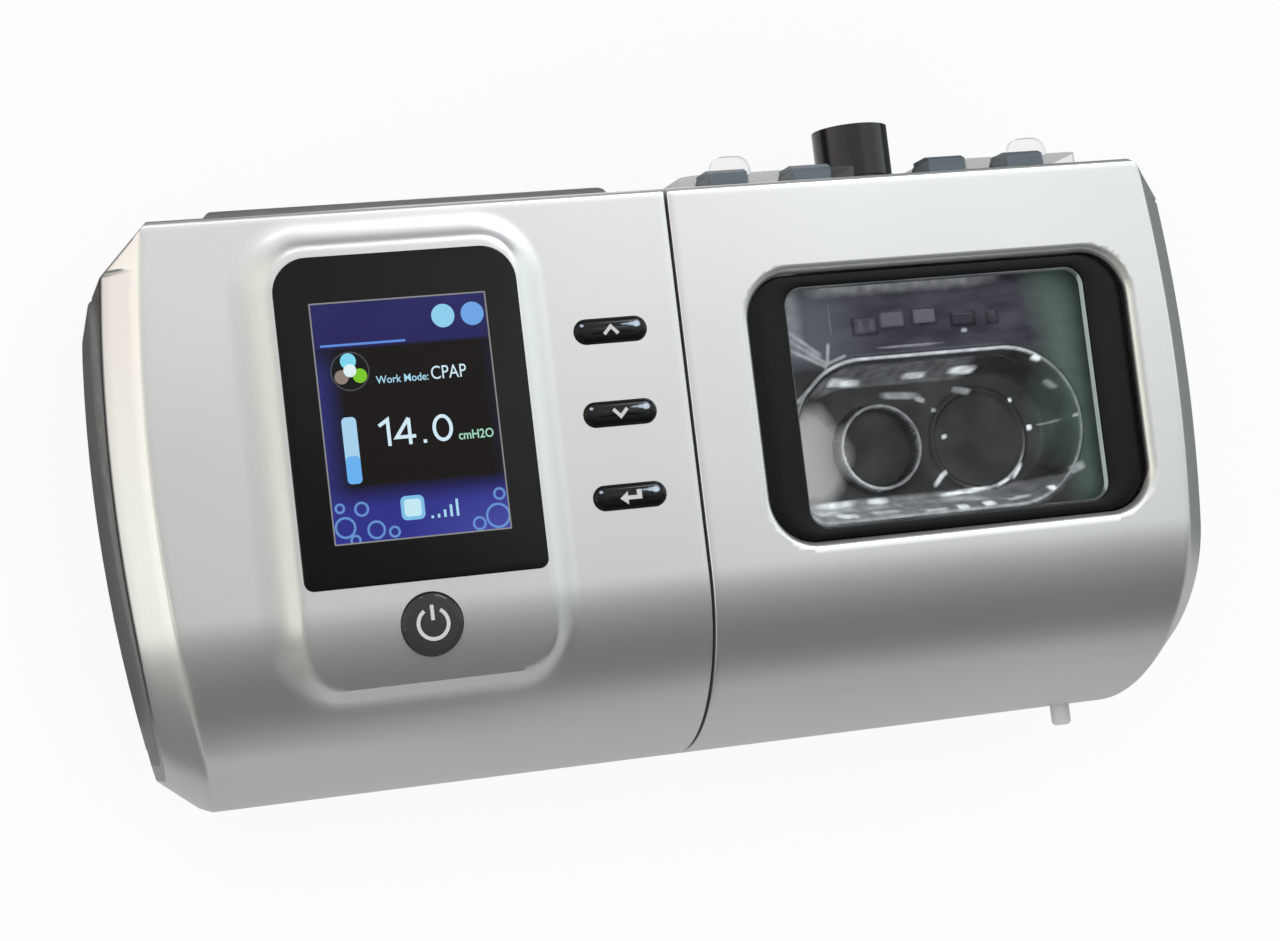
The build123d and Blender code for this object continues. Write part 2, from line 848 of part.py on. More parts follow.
with BuildPart() as blower_rotor:
    add(upright(blower_x, blower_y, rotor_radius, rotor_low_z, rotor_high_z))
    add(upright(blower_x, blower_y, shaft_radius, shaft_low_z, shaft_high_z), mode=Mode.SUBTRACT)
save(blower_rotor, "blower_rotor")

with BuildPart() as blower_stator:
    add(upright(blower_x, blower_y, motor_can_radius - can_wall, rotor_low_z, rotor_high_z))
    add(upright(blower_x, blower_y, rotor_radius + rotor_gap, rotor_low_z, rotor_high_z), mode=Mode.SUBTRACT)
save(blower_stator, "blower_stator")

with BuildPart() as blower_bearings:
    for bearing_z in (low_bearing_z, high_bearing_z):
        add(upright(blower_x, blower_y, bearing_radius, bearing_z, bearing_z + bearing_width))
        add(
            upright(blower_x, blower_y, shaft_radius + running_gap, bearing_z, bearing_z + bearing_width),
            mode=Mode.SUBTRACT,
        )
save(blower_bearings, "blower_bearings")

with BuildPart() as blower_mounts:
    with Locations((blower_x, blower_y, floor_z)):
        with PolarLocations(bush_circle_radius, 3):
            Cylinder(bush_radius, motor_floor_z - floor_z, align=standing)
save(blower_mounts, "blower_mounts")

bellows_wall = 1.2
bellows_overlap = 4.0          # how far it is pushed over the duct
bellows_pitch = 3.2
bellows_ring = 2.0
bellows_left_x = duct_end_x - bellows_overlap
bellows_right_x = seam_wall_x
bellows_ring_x = [bellows_left_x + bellows_pitch * (step + 0.5) for step in range(3)]

with BuildPart() as outlet_bellows:
    add(along_x(port_y, duct_z, duct_radius + snug_gap + bellows_wall, bellows_left_x, bellows_right_x))
    for middle_x in bellows_ring_x:
        low_x = middle_x - bellows_ring / 2
        add(along_x(port_y, duct_z, duct_radius + 2 * bellows_wall, low_x, low_x + bellows_ring))
    add(
        along_x(port_y, duct_z, duct_radius + snug_gap, bellows_left_x, bellows_right_x),
        mode=Mode.SUBTRACT,
    )
save(outlet_bellows, "outlet_bellows")

# ------------------------------------------------------------------ blower unit: air inlet
inlet_collar = 2.0
inlet_size = grid_pitch * grid_count

with BuildPart() as muffler_box:
    add(
        rounded_box(
            (muffler_left_x, muffler_front_y, floor_z),
            (muffler_right_x, muffler_rear_y, floor_z + muffler_height),
            0,
        )
    )
    with Locations((filter_x, muffler_rear_y, filter_z)):
        Box(
            inlet_size + 2 * inlet_collar,
            rear_y - wall - snug_gap - muffler_rear_y,
            inlet_size + 2 * inlet_collar,
            align=(Align.CENTER, Align.MIN, Align.CENTER),
        )
    add(
        rounded_box(
            (muffler_left_x + muffler_wall, muffler_front_y + muffler_wall, floor_z + muffler_wall),
            (
                muffler_right_x - muffler_wall,
                muffler_rear_y - muffler_wall,
                floor_z + muffler_height - muffler_wall,
            ),
            0,
        ),
        mode=Mode.SUBTRACT,
    )
    with Locations((filter_x, muffler_rear_y, filter_z)):
        Box(inlet_size, beyond, inlet_size, mode=Mode.SUBTRACT)
    with Locations((muffler_right_x, (muffler_front_y + muffler_rear_y) / 2, volute_roof_z - eye_radius)):
        Cylinder(duct_radius, beyond / 2, rotation=(0, 90, 0), mode=Mode.SUBTRACT)
save(muffler_box, "muffler_box")

with BuildPart() as muffler_foam:
    add(
        rounded_box(
            (
                muffler_left_x + muffler_wall + foam_gap,
                muffler_front_y + muffler_wall + foam_gap,
                floor_z + muffler_wall,
            ),
            (
                muffler_right_x - muffler_wall - foam_gap,
                muffler_rear_y - muffler_wall - foam_gap,
                floor_z + muffler_height - muffler_wall - foam_gap,
            ),
            0,
        )
    )
    with Locations((filter_x, muffler_rear_y, filter_z)):
        Cylinder(eye_radius, muffler_rear_y - muffler_front_y, rotation=(90, 0, 0), mode=Mode.SUBTRACT)
save(muffler_foam, "muffler_foam")

with BuildPart() as inlet_filter:
    with Locations((filter_x, cover_inner_y - fit_gap, filter_z)):
        Box(
            filter_size - fit_gap,
            filter_thickness - fit_gap,
            filter_size - fit_gap,
            align=(Align.CENTER, Align.MAX, Align.CENTER),
        )
save(inlet_filter, "inlet_filter")


def hinged_cover(x, z, width, height, thickness, pin_radius, pin_z):
    """A flat cover for the back panel with a round lower edge and two pivots."""
    with BuildPart() as cover:
        with Locations((x, panel_y, z)):
            Box(width, thickness, height, align=(Align.CENTER, Align.MAX, Align.CENTER))
        fillet(cover.edges().filter_by(Axis.X).group_by(Axis.Z)[0], thickness / 2 - running_gap)
        with Locations((x, panel_y - thickness / 2, pin_z)):
            Cylinder(pin_radius, width + 2 * (cover_pin_reach + fit_gap), rotation=(0, 90, 0))
    return cover.part


louvre_pitch = filter_size / louvre_count

louvre_z = [filter_z + louvre_pitch * (row - (louvre_count - 1) / 2) for row in range(louvre_count)]

with BuildPart() as filter_cover:
    add(
        hinged_cover(
            filter_x, filter_z, cover_size, cover_size, cover_thickness, cover_pin_radius, cover_hinge_z
        )
    )
    with Locations([(filter_x, panel_y, z) for z in louvre_z]):
        Box(filter_size - 2 * cover_border, beyond / 2, louvre_height, mode=Mode.SUBTRACT)
save(filter_cover, "filter_cover")

# ------------------------------------------------------------------ blower unit: electrics
jack_flange = 2.0
jack_wall = 1.5

with BuildPart() as dc_jack:
    add(along_y(jack_x, jack_z, jack_radius - snug_gap, rear_y - wall - jack_depth, panel_y - snug_gap))
    add(along_y(jack_x, jack_z, jack_radius + jack_flange, rear_y - wall - jack_depth, rear_y - wall))
    add(along_y(jack_x, jack_z, jack_bore_radius, panel_y - jack_depth, panel_y), mode=Mode.SUBTRACT)
    add(along_y(jack_x, jack_z, jack_pin_radius, panel_y - jack_depth - jack_wall, panel_y - jack_wall))
save(dc_jack, "dc_jack")

socket_skin = 1.2

with BuildPart() as card_socket:
    with Locations((card_x, rear_y - wall, card_z)):
        Box(
            card_width + 2 * socket_skin,
            card_depth,
            card_height + 2 * socket_skin,
            align=(Align.CENTER, Align.MAX, Align.CENTER),
        )
        Box(
            card_width,
            card_depth - socket_skin,
            card_height,
            align=(Align.CENTER, Align.MAX, Align.CENTER),
            mode=Mode.SUBTRACT,
        )
save(card_socket, "card_socket")

with BuildPart() as card_door:
    add(hinged_cover(card_x, card_z, door_width, door_height, door_thickness, door_pin_radius, door_hinge_z))
save(card_door, "card_door")

standoff_inset = 4.0
control_x = control_left_x + control_width / 2
control_y = (control_front_y + control_rear_y) / 2
control_length = control_rear_y - control_front_y
control_low_z = floor_z + standoff_height
control_top_z = control_low_z + board_thickness

with BuildPart() as board_standoffs:
    with Locations((control_x, control_y, floor_z)):
        with GridLocations(control_width - 2 * standoff_inset, control_length - 2 * standoff_inset, 2, 2):
            Cylinder(standoff_radius, standoff_height, align=standing)
save(board_standoffs, "board_standoffs")

with BuildPart() as control_board:
    with Locations((control_x, control_y, control_low_z)):
        Box(control_width, control_length, board_thickness, align=standing)
save(control_board, "control_board")

capacitor_radius = 5.0
capacitor_height = 16.0
capacitor_shift_x = 12.0
capacitor_shift_y = 6.0
capacitor_pitch = 14.0
capacitor_x = control_x + capacitor_shift_x
capacitor_y = [control_y - capacitor_shift_y + capacitor_pitch * step for step in (-1, 0, 1)]
heat_sink_size = 16.0
heat_sink_height = 12.0
heat_sink_shift_x = 8.0
heat_sink_shift_y = 22.0
heat_sink_x = control_x + heat_sink_shift_x
heat_sink_y = control_y + heat_sink_shift_y
chip_height = 5.0
chip_width = 8.0
processor_length = 16.0
processor_shift_x = 4.0
processor_shift_y = 26.0
processor_x = control_x - processor_shift_x
processor_y = control_y - processor_shift_y
sensor_shift_x = 13.0
sensor_shift_y = 4.0
sensor_x = control_x - sensor_shift_x
sensor_y = control_y - sensor_shift_y

with BuildPart() as board_components:
    with Locations([(capacitor_x, y, control_top_z) for y in capacitor_y]):
        Cylinder(capacitor_radius, capacitor_height, align=standing)
    with Locations((heat_sink_x, heat_sink_y, control_top_z)):
        Box(heat_sink_size, heat_sink_size, heat_sink_height, align=standing)
    with Locations((sensor_x, sensor_y, control_top_z)):
        Box(chip_width, chip_width, chip_height, align=standing)
    with Locations((processor_x, processor_y, control_top_z)):
        Box(processor_length, chip_width, chip_height, align=standing)
save(board_components, "board_components")

tap_setback = 9.0              # pressure tap, measured in from the end of the duct
tap_x = duct_end_x - tap_setback
tap_z = duct_z + duct_radius
sensor_z = control_top_z + chip_height

with BuildPart() as pressure_tube:
    with BuildLine() as tube_route:
        FilletPolyline(
            (sensor_x, sensor_y, sensor_z),
            (sensor_x, sensor_y, tube_z),
            (tap_x, port_y, tube_z),
            (tap_x, port_y, tap_z),
            radius=tube_bend,
        )
    with BuildSketch(Plane(origin=(sensor_x, sensor_y, sensor_z), z_dir=(0, 0, 1))):
        Circle(tube_radius)
    sweep()
save(pressure_tube, "pressure_tube")


def screw_group(side):
    """Countersunk screws under one module, as separate solids."""
    with BuildPart() as screws:
        with Locations([(side * x, y, case_bottom) for x, y in screw_places]):
            Cylinder(screw_radius, screw_length, align=standing)
            Cone(
                screw_head_radius,
                screw_radius,
                screw_head_radius - screw_radius,
                align=standing,
            )
    return screws.part


def foot_group(side):
    """Rubber feet under one module, as separate solids."""
    with BuildPart() as feet:
        with Locations([(side * x, y, 0) for x, y in foot_places]):
            Cylinder(foot_radius, foot_height, align=standing)
        fillet(feet.faces().group_by(Axis.Z)[0].edges(), foot_edge)
    return feet.part


with BuildPart() as main_screws:
    add(screw_group(-1))
save(main_screws, "main_screws")

with BuildPart() as main_feet:
    add(foot_group(-1))
save(main_feet, "main_feet")

# ------------------------------------------------------------------ humidifier: case and window
frame_top_z = face_z - frame_depth
frame_low_z = frame_top_z - frame_thickness
collar_low_z = frame_low_z - ledge_thickness
lip_angle = math.degrees(math.atan(lip_width / frame_depth))
bay_low = (tank_left_x - bay_gap, rear_y - 2 * wall, tank_bottom_z - bay_gap)
bay_high = (tank_right_x + bay_gap, rear_y + beyond, tank_top_z + rib_height + fit_gap)
bay_mouth = rounded_box(bay_low, bay_high, 0)


def window_outline(plane, growth, corner_growth):
    """Rounded rectangle of the window frame, grown on every side."""
    with BuildSketch(plane) as outline:
        with Locations((window_x, window_y)):
            RectangleRounded(
                frame_length + 2 * growth,
                frame_width + 2 * growth,
                frame_corner + corner_growth,
            )
    return outline.sketch


guide_radius = pin_radius + running_gap + pin_guide_wall
guide_rear_y = front_y + wall + pin_guide_length
collar_outline = window_outline(Plane.XY.offset(collar_low_z), snug_gap + collar_wall, collar_wall)
seat_outline = window_outline(Plane.XY.offset(frame_low_z), snug_gap, 0)
ledge_outline = window_outline(Plane.XY.offset(collar_low_z), -ledge_width, -ledge_width)
lip_outline = window_outline(Plane.XY.offset(frame_top_z), snug_gap, 0)

with BuildPart() as humidifier_upper_shell:
    add(right_block)
    add(right_core, mode=Mode.SUBTRACT)
    add(below_parting, mode=Mode.SUBTRACT)
    add(humidifier_posts)
    add(along_y(pin_x, pin_z, guide_radius, front_y + wall / 2, guide_rear_y))
    add(
        along_y(pin_x, pin_z, pin_radius + running_gap, front_y - wall, guide_rear_y + wall),
        mode=Mode.SUBTRACT,
    )
    extrude(collar_outline, amount=face_z - wall / 2 - collar_low_z)
    extrude(seat_outline, amount=beyond, mode=Mode.SUBTRACT)
    extrude(ledge_outline, amount=beyond, mode=Mode.SUBTRACT)
    extrude(lip_outline, amount=frame_depth, taper=-lip_angle, mode=Mode.SUBTRACT)
    add(bay_mouth, mode=Mode.SUBTRACT)
save(humidifier_upper_shell, "humidifier_upper_shell")

socket_inner = duct_radius + fit_gap + gasket_wall
seam_inner_x = seam_gap / 2
socket_end_x = tank_left_x - flange_gap
pedestal_outer = heater_radius + fit_gap + pedestal_wall
heater_top_z = tank_bottom_z - flange_gap
plate_low_z = heater_top_z - heater_plate_thickness
element_low_z = plate_low_z - heater_element_thickness
insulator_low_z = element_low_z - insulator_thickness
pedestal_high_z = heater_top_z - heater_plate_thickness / 2
rail_top_z = tank_bottom_z - fit_gap

with BuildPart() as humidifier_lower_shell:
    add(right_block)
    add(right_cheek)
    add(right_core, mode=Mode.SUBTRACT)
    add(below_parting, mode=Mode.INTERSECT)
    add(bay_mouth, mode=Mode.SUBTRACT)
    add(along_x(port_y, duct_z, socket_inner + socket_wall, seam_inner_x, socket_end_x))
    add(
        along_x(port_y, duct_z, socket_inner, seam_inner_x - wall, socket_end_x + wall),
        mode=Mode.SUBTRACT,
    )
    for side_y in peg_y:
        add(
            along_x(side_y, peg_z, peg_radius + fit_gap, seam_inner_x - wall, seam_inner_x + 2 * wall),
            mode=Mode.SUBTRACT,
        )
    add(upright(heater_x, heater_y, pedestal_outer, floor_z - wall / 2, pedestal_high_z))
    add(
        upright(heater_x, heater_y, heater_radius + fit_gap, insulator_low_z, pedestal_high_z),
        mode=Mode.SUBTRACT,
    )
    add(
        upright(heater_x, heater_y, heater_radius - pedestal_wall, floor_z, pedestal_high_z),
        mode=Mode.SUBTRACT,
    )
    for rail_x in (tank_left_x, tank_right_x - rail_width):
        add(
            rounded_box(
                (rail_x, tank_front_y, floor_z - wall / 2),
                (rail_x + rail_width, rear_y - wall, rail_top_z),
                0,
            )
        )
    with Locations([(x, y, case_bottom) for x, y in screw_places]):
        CounterSinkHole(screw_radius, screw_head_radius, counter_sink_angle=90)
save(humidifier_lower_shell, "humidifier_lower_shell")

with BuildPart() as window_frame:
    extrude(window_outline(Plane.XY.offset(frame_low_z), 0, 0), amount=frame_thickness)
    with BuildSketch(Plane.XY.offset(frame_low_z - wall)):
        with Locations((window_x, window_y)):
            RectangleRounded(opening_length, opening_width, opening_corner)
    extrude(amount=beyond, mode=Mode.SUBTRACT)
    with BuildSketch(Plane.XY.offset(frame_low_z)):
        with Locations((window_x, window_y)):
            RectangleRounded(
                opening_length + 2 * pane_border,
                opening_width + 2 * pane_border,
                opening_corner + pane_border,
            )
    extrude(amount=pane_thickness, mode=Mode.SUBTRACT)
save(window_frame, "window_frame")

with BuildPart() as window_pane:
    with BuildSketch(Plane.XY.offset(frame_low_z)):
        with Locations((window_x, window_y)):
            RectangleRounded(
                opening_length + 2 * pane_border - 2 * running_gap,
                opening_width + 2 * pane_border - 2 * running_gap,
                opening_corner + pane_border,
            )
    extrude(amount=pane_thickness)
save(window_pane, "window_pane")

# ------------------------------------------------------------------ humidifier: water tank
flange_y = rear_y + flange_gap
tank_inner_rear_y = flange_y - tank_wall
seal_low_z = tank_top_z - lid_thickness - seal_thickness
clip_outer_y = flange_y + fit_gap + clip_depth
clip_pivot_y = flange_y + fit_gap + clip_pin_inset
clip_pocket_low_z = clip_pivot_z - clip_pin_inset - fit_gap
flange_rear_y = rear_y + flange_proud
tab_low_z = flange_high_z - tab_thickness
tab_front_y = flange_rear_y - wall
tab_rear_y = rear_y + tab_proud
notch_radius = outlet_radius + outlet_notch_gap
cone_front_y = flange_rear_y + outlet_neck_proud
outlet_rim_y = flange_rear_y + outlet_reach


def tank_outline(low, high, inset, rear, corner):
    """Box of the tank between two heights, inset from its skin, with round front corners."""
    with BuildPart() as box:
        with BuildSketch(Plane.XY.offset(low)) as plan:
            with Locations((tank_x, (tank_front_y + inset + rear) / 2)):
                Rectangle(tank_right_x - tank_left_x - 2 * inset, rear - tank_front_y - inset)
            fillet(plan.vertices().group_by(Axis.Y)[0], corner)
        extrude(amount=high - low)
    return box.part


with BuildPart() as water_tank:
    add(tank_outline(tank_bottom_z, seal_low_z, 0, flange_y, tank_corner))
    add(
        tank_outline(
            tank_bottom_z + tank_wall,
            seal_low_z,
            tank_wall,
            tank_inner_rear_y,
            tank_corner - tank_wall,
        ),
        mode=Mode.SUBTRACT,
    )
    with Locations(((flange_left_x + flange_right_x) / 2, flange_y, (flange_low_z + flange_high_z) / 2)):
        Box(
            flange_right_x - flange_left_x,
            flange_rear_y - flange_y,
            flange_high_z - flange_low_z,
            align=(Align.CENTER, Align.MIN, Align.CENTER),
        )
    fillet(
        water_tank.edges().filter_by(Axis.Y).filter_by(
            lambda edge: edge.center().X < flange_left_x + 1 or edge.center().X > flange_right_x - 1
        ),
        flange_corner,
    )
    add(along_y(outlet_x, outlet_z, notch_radius, flange_y, flange_rear_y + wall), mode=Mode.SUBTRACT)
    add(
        rounded_box(
            (outlet_x - notch_radius, flange_y, outlet_z),
            (outlet_x + notch_radius, flange_rear_y + wall, flange_high_z + wall),
            0,
        ),
        mode=Mode.SUBTRACT,
    )
    add(
        along_y(outlet_x, outlet_z, outlet_neck_radius + running_gap, tank_inner_rear_y - wall, flange_y),
        mode=Mode.SUBTRACT,
    )
    add(
        along_x(port_y, duct_z, duct_radius, tank_left_x - wall, tank_left_x + 2 * tank_wall),
        mode=Mode.SUBTRACT,
    )
    for clip_x in clip_centres:
        add(
            rounded_box(
                (clip_x - clip_width / 2 - fit_gap, flange_y, clip_pocket_low_z),
                (clip_x + clip_width / 2 + fit_gap, flange_rear_y + wall, clip_high_z + fit_gap),
                0,
            ),
            mode=Mode.SUBTRACT,
        )
        add(
            along_x(
                clip_pivot_y,
                clip_pivot_z,
                clip_pin_radius,
                clip_x - clip_width / 2 - 2 * fit_gap,
                clip_x + clip_width / 2 + 2 * fit_gap,
            )
        )
    for tab_x in (clip_centres[0], clip_centres[-1]):
        with BuildSketch(Plane.XY.offset(tab_low_z)) as tab:
            with Locations((tab_x, (tab_front_y + tab_rear_y) / 2)):
                Rectangle(tab_width, tab_rear_y - tab_front_y)
            fillet(tab.vertices().group_by(Axis.Y)[-1], tab_corner)
        extrude(amount=tab_thickness)
save(water_tank, "water_tank")

with BuildPart() as tank_seal:
    add(tank_outline(seal_low_z, seal_low_z + seal_thickness, 0, flange_y, tank_corner))
    add(
        tank_outline(
            seal_low_z, seal_low_z + seal_thickness, tank_wall, tank_inner_rear_y, tank_corner - tank_wall
        ),
        mode=Mode.SUBTRACT,
    )
save(tank_seal, "tank_seal")

lid_low_z = tank_top_z - lid_thickness
pocket_low_z = lid_low_z - pocket_depth
rib_places = [window_x + rib_pitch * (step - (rib_count - 1) / 2) for step in range(rib_count)]

with BuildPart() as tank_lid:
    add(tank_outline(lid_low_z, tank_top_z, 0, flange_y, tank_corner))
    with BuildSketch(Plane.XY.offset(tank_top_z)):
        with Locations((pocket_x, pocket_y)):
            SlotOverall(pocket_length + 2 * pocket_wall, pocket_width + 2 * pocket_wall)
    extrude(amount=-pocket_depth - lid_thickness, taper=pocket_draft)
    with BuildSketch(Plane.XY.offset(tank_top_z)):
        with Locations((pocket_x, pocket_y)):
            SlotOverall(pocket_length, pocket_width)
    extrude(amount=pocket_wall - pocket_depth - lid_thickness, taper=pocket_draft, mode=Mode.SUBTRACT)
    add(upright(ring_x, ring_y, ring_radius, pocket_low_z, tank_top_z))
    add(
        upright(ring_x, ring_y, ring_radius - ring_wall, pocket_low_z - wall, tank_top_z + wall),
        mode=Mode.SUBTRACT,
    )
    with Locations([(x, rib_y, tank_top_z) for x in rib_places]):
        Box(rib_length, rib_width, rib_height, align=standing)
save(tank_lid, "tank_lid")

collar_front_y = tank_inner_rear_y - outlet_collar_thickness

with BuildPart() as air_outlet:
    add(along_y(outlet_x, outlet_z, outlet_radius, cone_front_y, outlet_rim_y))
    add(along_y(outlet_x, outlet_z, outlet_neck_radius, collar_front_y, outlet_rim_y))
    add(along_y(outlet_x, outlet_z, outlet_collar_radius, collar_front_y, tank_inner_rear_y))
    add(
        along_y(outlet_x, outlet_z, outlet_bore_radius, tank_inner_rear_y - beyond, outlet_rim_y + wall),
        mode=Mode.SUBTRACT,
    )
save(air_outlet, "air_outlet")

for clip_number, clip_x in enumerate(clip_centres, start=1):
    with BuildPart() as clip:
        with BuildSketch(Plane.YZ.offset(clip_x - clip_width / 2)):
            with BuildLine():
                Polyline(
                    (clip_pivot_y - clip_pin_inset, clip_pivot_z),
                    (clip_pivot_y - clip_pin_inset, clip_high_z),
                    (clip_outer_y - clip_chamfer, clip_high_z),
                    (clip_outer_y, clip_high_z - 2 * clip_chamfer),
                    (clip_outer_y, clip_pivot_z),
                    (clip_pivot_y - clip_pin_inset, clip_pivot_z),
                )
            make_face()
            with Locations((clip_pivot_y, clip_pivot_z)):
                Circle(clip_pin_inset)
                Circle(clip_pin_radius + running_gap, mode=Mode.SUBTRACT)
        extrude(amount=clip_width)
    save(clip, "tank_clip_" + str(clip_number))

# ------------------------------------------------------------------ humidifier: heater, pin and small parts
with BuildPart() as heater_insulator:
    add(upright(heater_x, heater_y, heater_radius, insulator_low_z, element_low_z))
save(heater_insulator, "heater_insulator")

with BuildPart() as heater_element:
    add(upright(heater_x, heater_y, heater_radius, element_low_z, plate_low_z))
save(heater_element, "heater_element")

with BuildPart() as heater_plate:
    add(upright(heater_x, heater_y, heater_radius, plate_low_z, heater_top_z))
save(heater_plate, "heater_plate")

with BuildPart() as heater_board:
    with Locations((heater_board_x + board_thickness / 2, 0, floor_z)):
        Box(board_thickness, heater_board_length, heater_board_height, align=standing)
save(heater_board, "heater_board")

pin_tip_y = front_y - pin_proud
pin_collar_y = guide_rear_y + fit_gap
pin_collar_end_y = pin_collar_y + pin_collar_thickness

with BuildPart() as eject_pin:
    add(along_y(pin_x, pin_z, pin_radius, pin_tip_y, pin_collar_end_y + pin_tail))
    fillet(eject_pin.faces().sort_by(Axis.Y)[0].edges(), pin_radius / 2)
    add(along_y(pin_x, pin_z, pin_collar_radius, pin_collar_y, pin_collar_end_y))
save(eject_pin, "eject_pin")

with BuildPart() as port_gasket:
    add(along_x(port_y, duct_z, socket_inner, seam_inner_x + snug_gap, seam_inner_x + nozzle_reach))
    add(
        along_x(port_y, duct_z, duct_radius + fit_gap, seam_inner_x - wall, socket_end_x),
        mode=Mode.SUBTRACT,
    )
save(port_gasket, "port_gasket")

with BuildPart() as humidifier_screws:
    add(screw_group(1))
save(humidifier_screws, "humidifier_screws")

with BuildPart() as humidifier_feet:
    add(foot_group(1))
save(humidifier_feet, "humidifier_feet")
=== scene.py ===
import json
import math

import bmesh
import bpy
import numpy as np
from mathutils import Matrix


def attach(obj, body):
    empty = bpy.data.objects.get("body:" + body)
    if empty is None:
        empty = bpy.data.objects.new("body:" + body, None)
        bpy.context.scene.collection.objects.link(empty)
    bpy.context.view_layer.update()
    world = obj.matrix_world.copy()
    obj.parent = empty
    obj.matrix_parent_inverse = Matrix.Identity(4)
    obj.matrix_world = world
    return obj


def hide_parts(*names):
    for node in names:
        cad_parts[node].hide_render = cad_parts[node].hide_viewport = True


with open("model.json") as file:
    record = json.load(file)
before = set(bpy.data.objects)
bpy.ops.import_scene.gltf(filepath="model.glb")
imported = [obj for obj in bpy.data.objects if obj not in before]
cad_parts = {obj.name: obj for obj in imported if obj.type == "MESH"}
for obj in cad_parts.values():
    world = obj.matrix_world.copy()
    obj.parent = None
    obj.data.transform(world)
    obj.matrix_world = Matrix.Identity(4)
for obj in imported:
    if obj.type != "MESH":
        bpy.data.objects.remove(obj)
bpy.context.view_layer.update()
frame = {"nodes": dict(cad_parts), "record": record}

# ---------------------------------------------------------------------------- studio
# A white sweep, a broad soft lamp overhead and two weaker ones, low at the left and in front. Grey
# and cream cards and mats stand and lie round the object under a graded vault: they can only be
# seen in gloss, and give the silver paint its bands.

MM = 0.001


class Field:
    """A socket of a material, so that sums, products and the like on it add Math nodes."""

    def __init__(self, finish, socket):
        self.finish = finish
        self.socket = socket

    def __add__(self, other):
        return self.finish.maths("ADD", self, other)

    def __radd__(self, other):
        return self.finish.maths("ADD", other, self)

    def __sub__(self, other):
        return self.finish.maths("SUBTRACT", self, other)

    def __rsub__(self, other):
        return self.finish.maths("SUBTRACT", other, self)

    def __mul__(self, other):
        return self.finish.maths("MULTIPLY", self, other)

    def __rmul__(self, other):
        return self.finish.maths("MULTIPLY", other, self)

    def __truediv__(self, other):
        return self.finish.maths("DIVIDE", self, other)

    def __abs__(self):
        return self.finish.maths("ABSOLUTE", self)

    def __pow__(self, other):
        return self.finish.maths("POWER", self, other)


class Finish:
    """A material, or the world, built up from nodes."""

    def __init__(self, owner):
        owner.use_nodes = True
        self.owner = owner
        self.tree = owner.node_tree
        self.tree.nodes.clear()

    def node(self, kind, settings=None, inputs=None, output=0):
        """Any node: its type, its settings, then values or fields for its sockets."""
        made = self.tree.nodes.new(kind)
        for key, value in (settings or {}).items():
            if key == "stops":
                ramp = made.color_ramp
                while len(ramp.elements) < len(value):
                    ramp.elements.new(0.5)
                for element, (place, colour) in zip(ramp.elements, value):
                    element.position = place
                    element.color = (*colour, 1)
            else:
                setattr(made, key, value)
        for key, value in (inputs or {}).items():
            if isinstance(value, Field):
                self.tree.links.new(value.socket, made.inputs[key])
            else:
                made.inputs[key].default_value = value
        return Field(self, made.outputs[output])

    def maths(self, operation, *values):
        """A Math node on values and fields."""
        return self.node("ShaderNodeMath", {"operation": operation}, dict(enumerate(values)))

    def mix(self, mask, low, high):
        """Colour low where mask is 0, and high where it is 1."""
        low, high = (colour if isinstance(colour, Field) else rgba(colour) for colour in (low, high))
        inputs = {0: mask, 6: low, 7: high}
        return self.node("ShaderNodeMix", {"data_type": "RGBA"}, inputs, 2)

    def place(self):
        """The three Object coordinates, as fields in millimetres."""
        where = self.node("ShaderNodeTexCoord", output="Object")
        scaled = self.node("ShaderNodeVectorMath", {"operation": "SCALE"}, {0: where, "Scale": 1 / MM})
        return [self.node("ShaderNodeSeparateXYZ", None, {0: scaled}, axis) for axis in range(3)]

    def noise(self, size, detail, stretch=(1, 1, 1)):
        """Noise from 0 to 1 whose grain is about size millimetres."""
        where = self.node("ShaderNodeTexCoord", output="Object")
        scale = tuple(1 / (size * MM * s) for s in stretch)
        where = self.node("ShaderNodeMapping", None, {"Vector": where, "Scale": scale})
        return self.node("ShaderNodeTexNoise", None, {"Vector": where, "Scale": 1.0, "Detail": detail})

    def between(self, value, low, high, new_low=0.0, new_high=1.0):
        """value carried from low..high to new_low..new_high, and held at the ends."""
        inputs = {"Value": value, "From Min": low, "From Max": high, "To Min": new_low, "To Max": new_high}
        return self.node("ShaderNodeMapRange", None, inputs)

    def bump(self, height, depth, strength=1.0):
        """Normal from a height from 0 to 1, depth millimetres deep."""
        inputs = {"Height": height, "Distance": depth * MM, "Strength": strength}
        return self.node("ShaderNodeBump", None, inputs)

    def greatest(self, *values):
        """The largest of the values."""
        most = values[0]
        for value in values[1:]:
            most = self.maths("MAXIMUM", most, value)
        return most

    def seen(self):
        """1 for camera, gloss and see-through rays, and 0 for the rest."""
        kinds = ("Is Camera Ray", "Is Glossy Ray", "Is Transmission Ray")
        return self.greatest(*[self.node("ShaderNodeLightPath", output=kind) for kind in kinds])

    def ramp(self, value, low, high, stops, full):
        """Colours at stops from low to high, as shares of full, so that none is over 1."""
        stops = [((place - low) / (high - low), [c / full for c in colour]) for place, colour in stops]
        return self.node("ShaderNodeValToRGB", {"stops": stops}, {"Fac": (value - low) / (high - low)})

    def principled(self, inputs):
        """The Principled shader, with values and fields for its sockets."""
        return self.node("ShaderNodeBsdfPrincipled", None, inputs)

    def blend(self, mask, low, high):
        """Shader low where mask is 0, and high where it is 1."""
        return self.node("ShaderNodeMixShader", None, {0: mask, 1: low, 2: high})

    def surface(self, shader, end="ShaderNodeOutputMaterial"):
        """Ends the material in a shader, and returns it."""
        self.tree.links.new(shader.socket, self.tree.nodes.new(end).inputs["Surface"])
        return self.owner


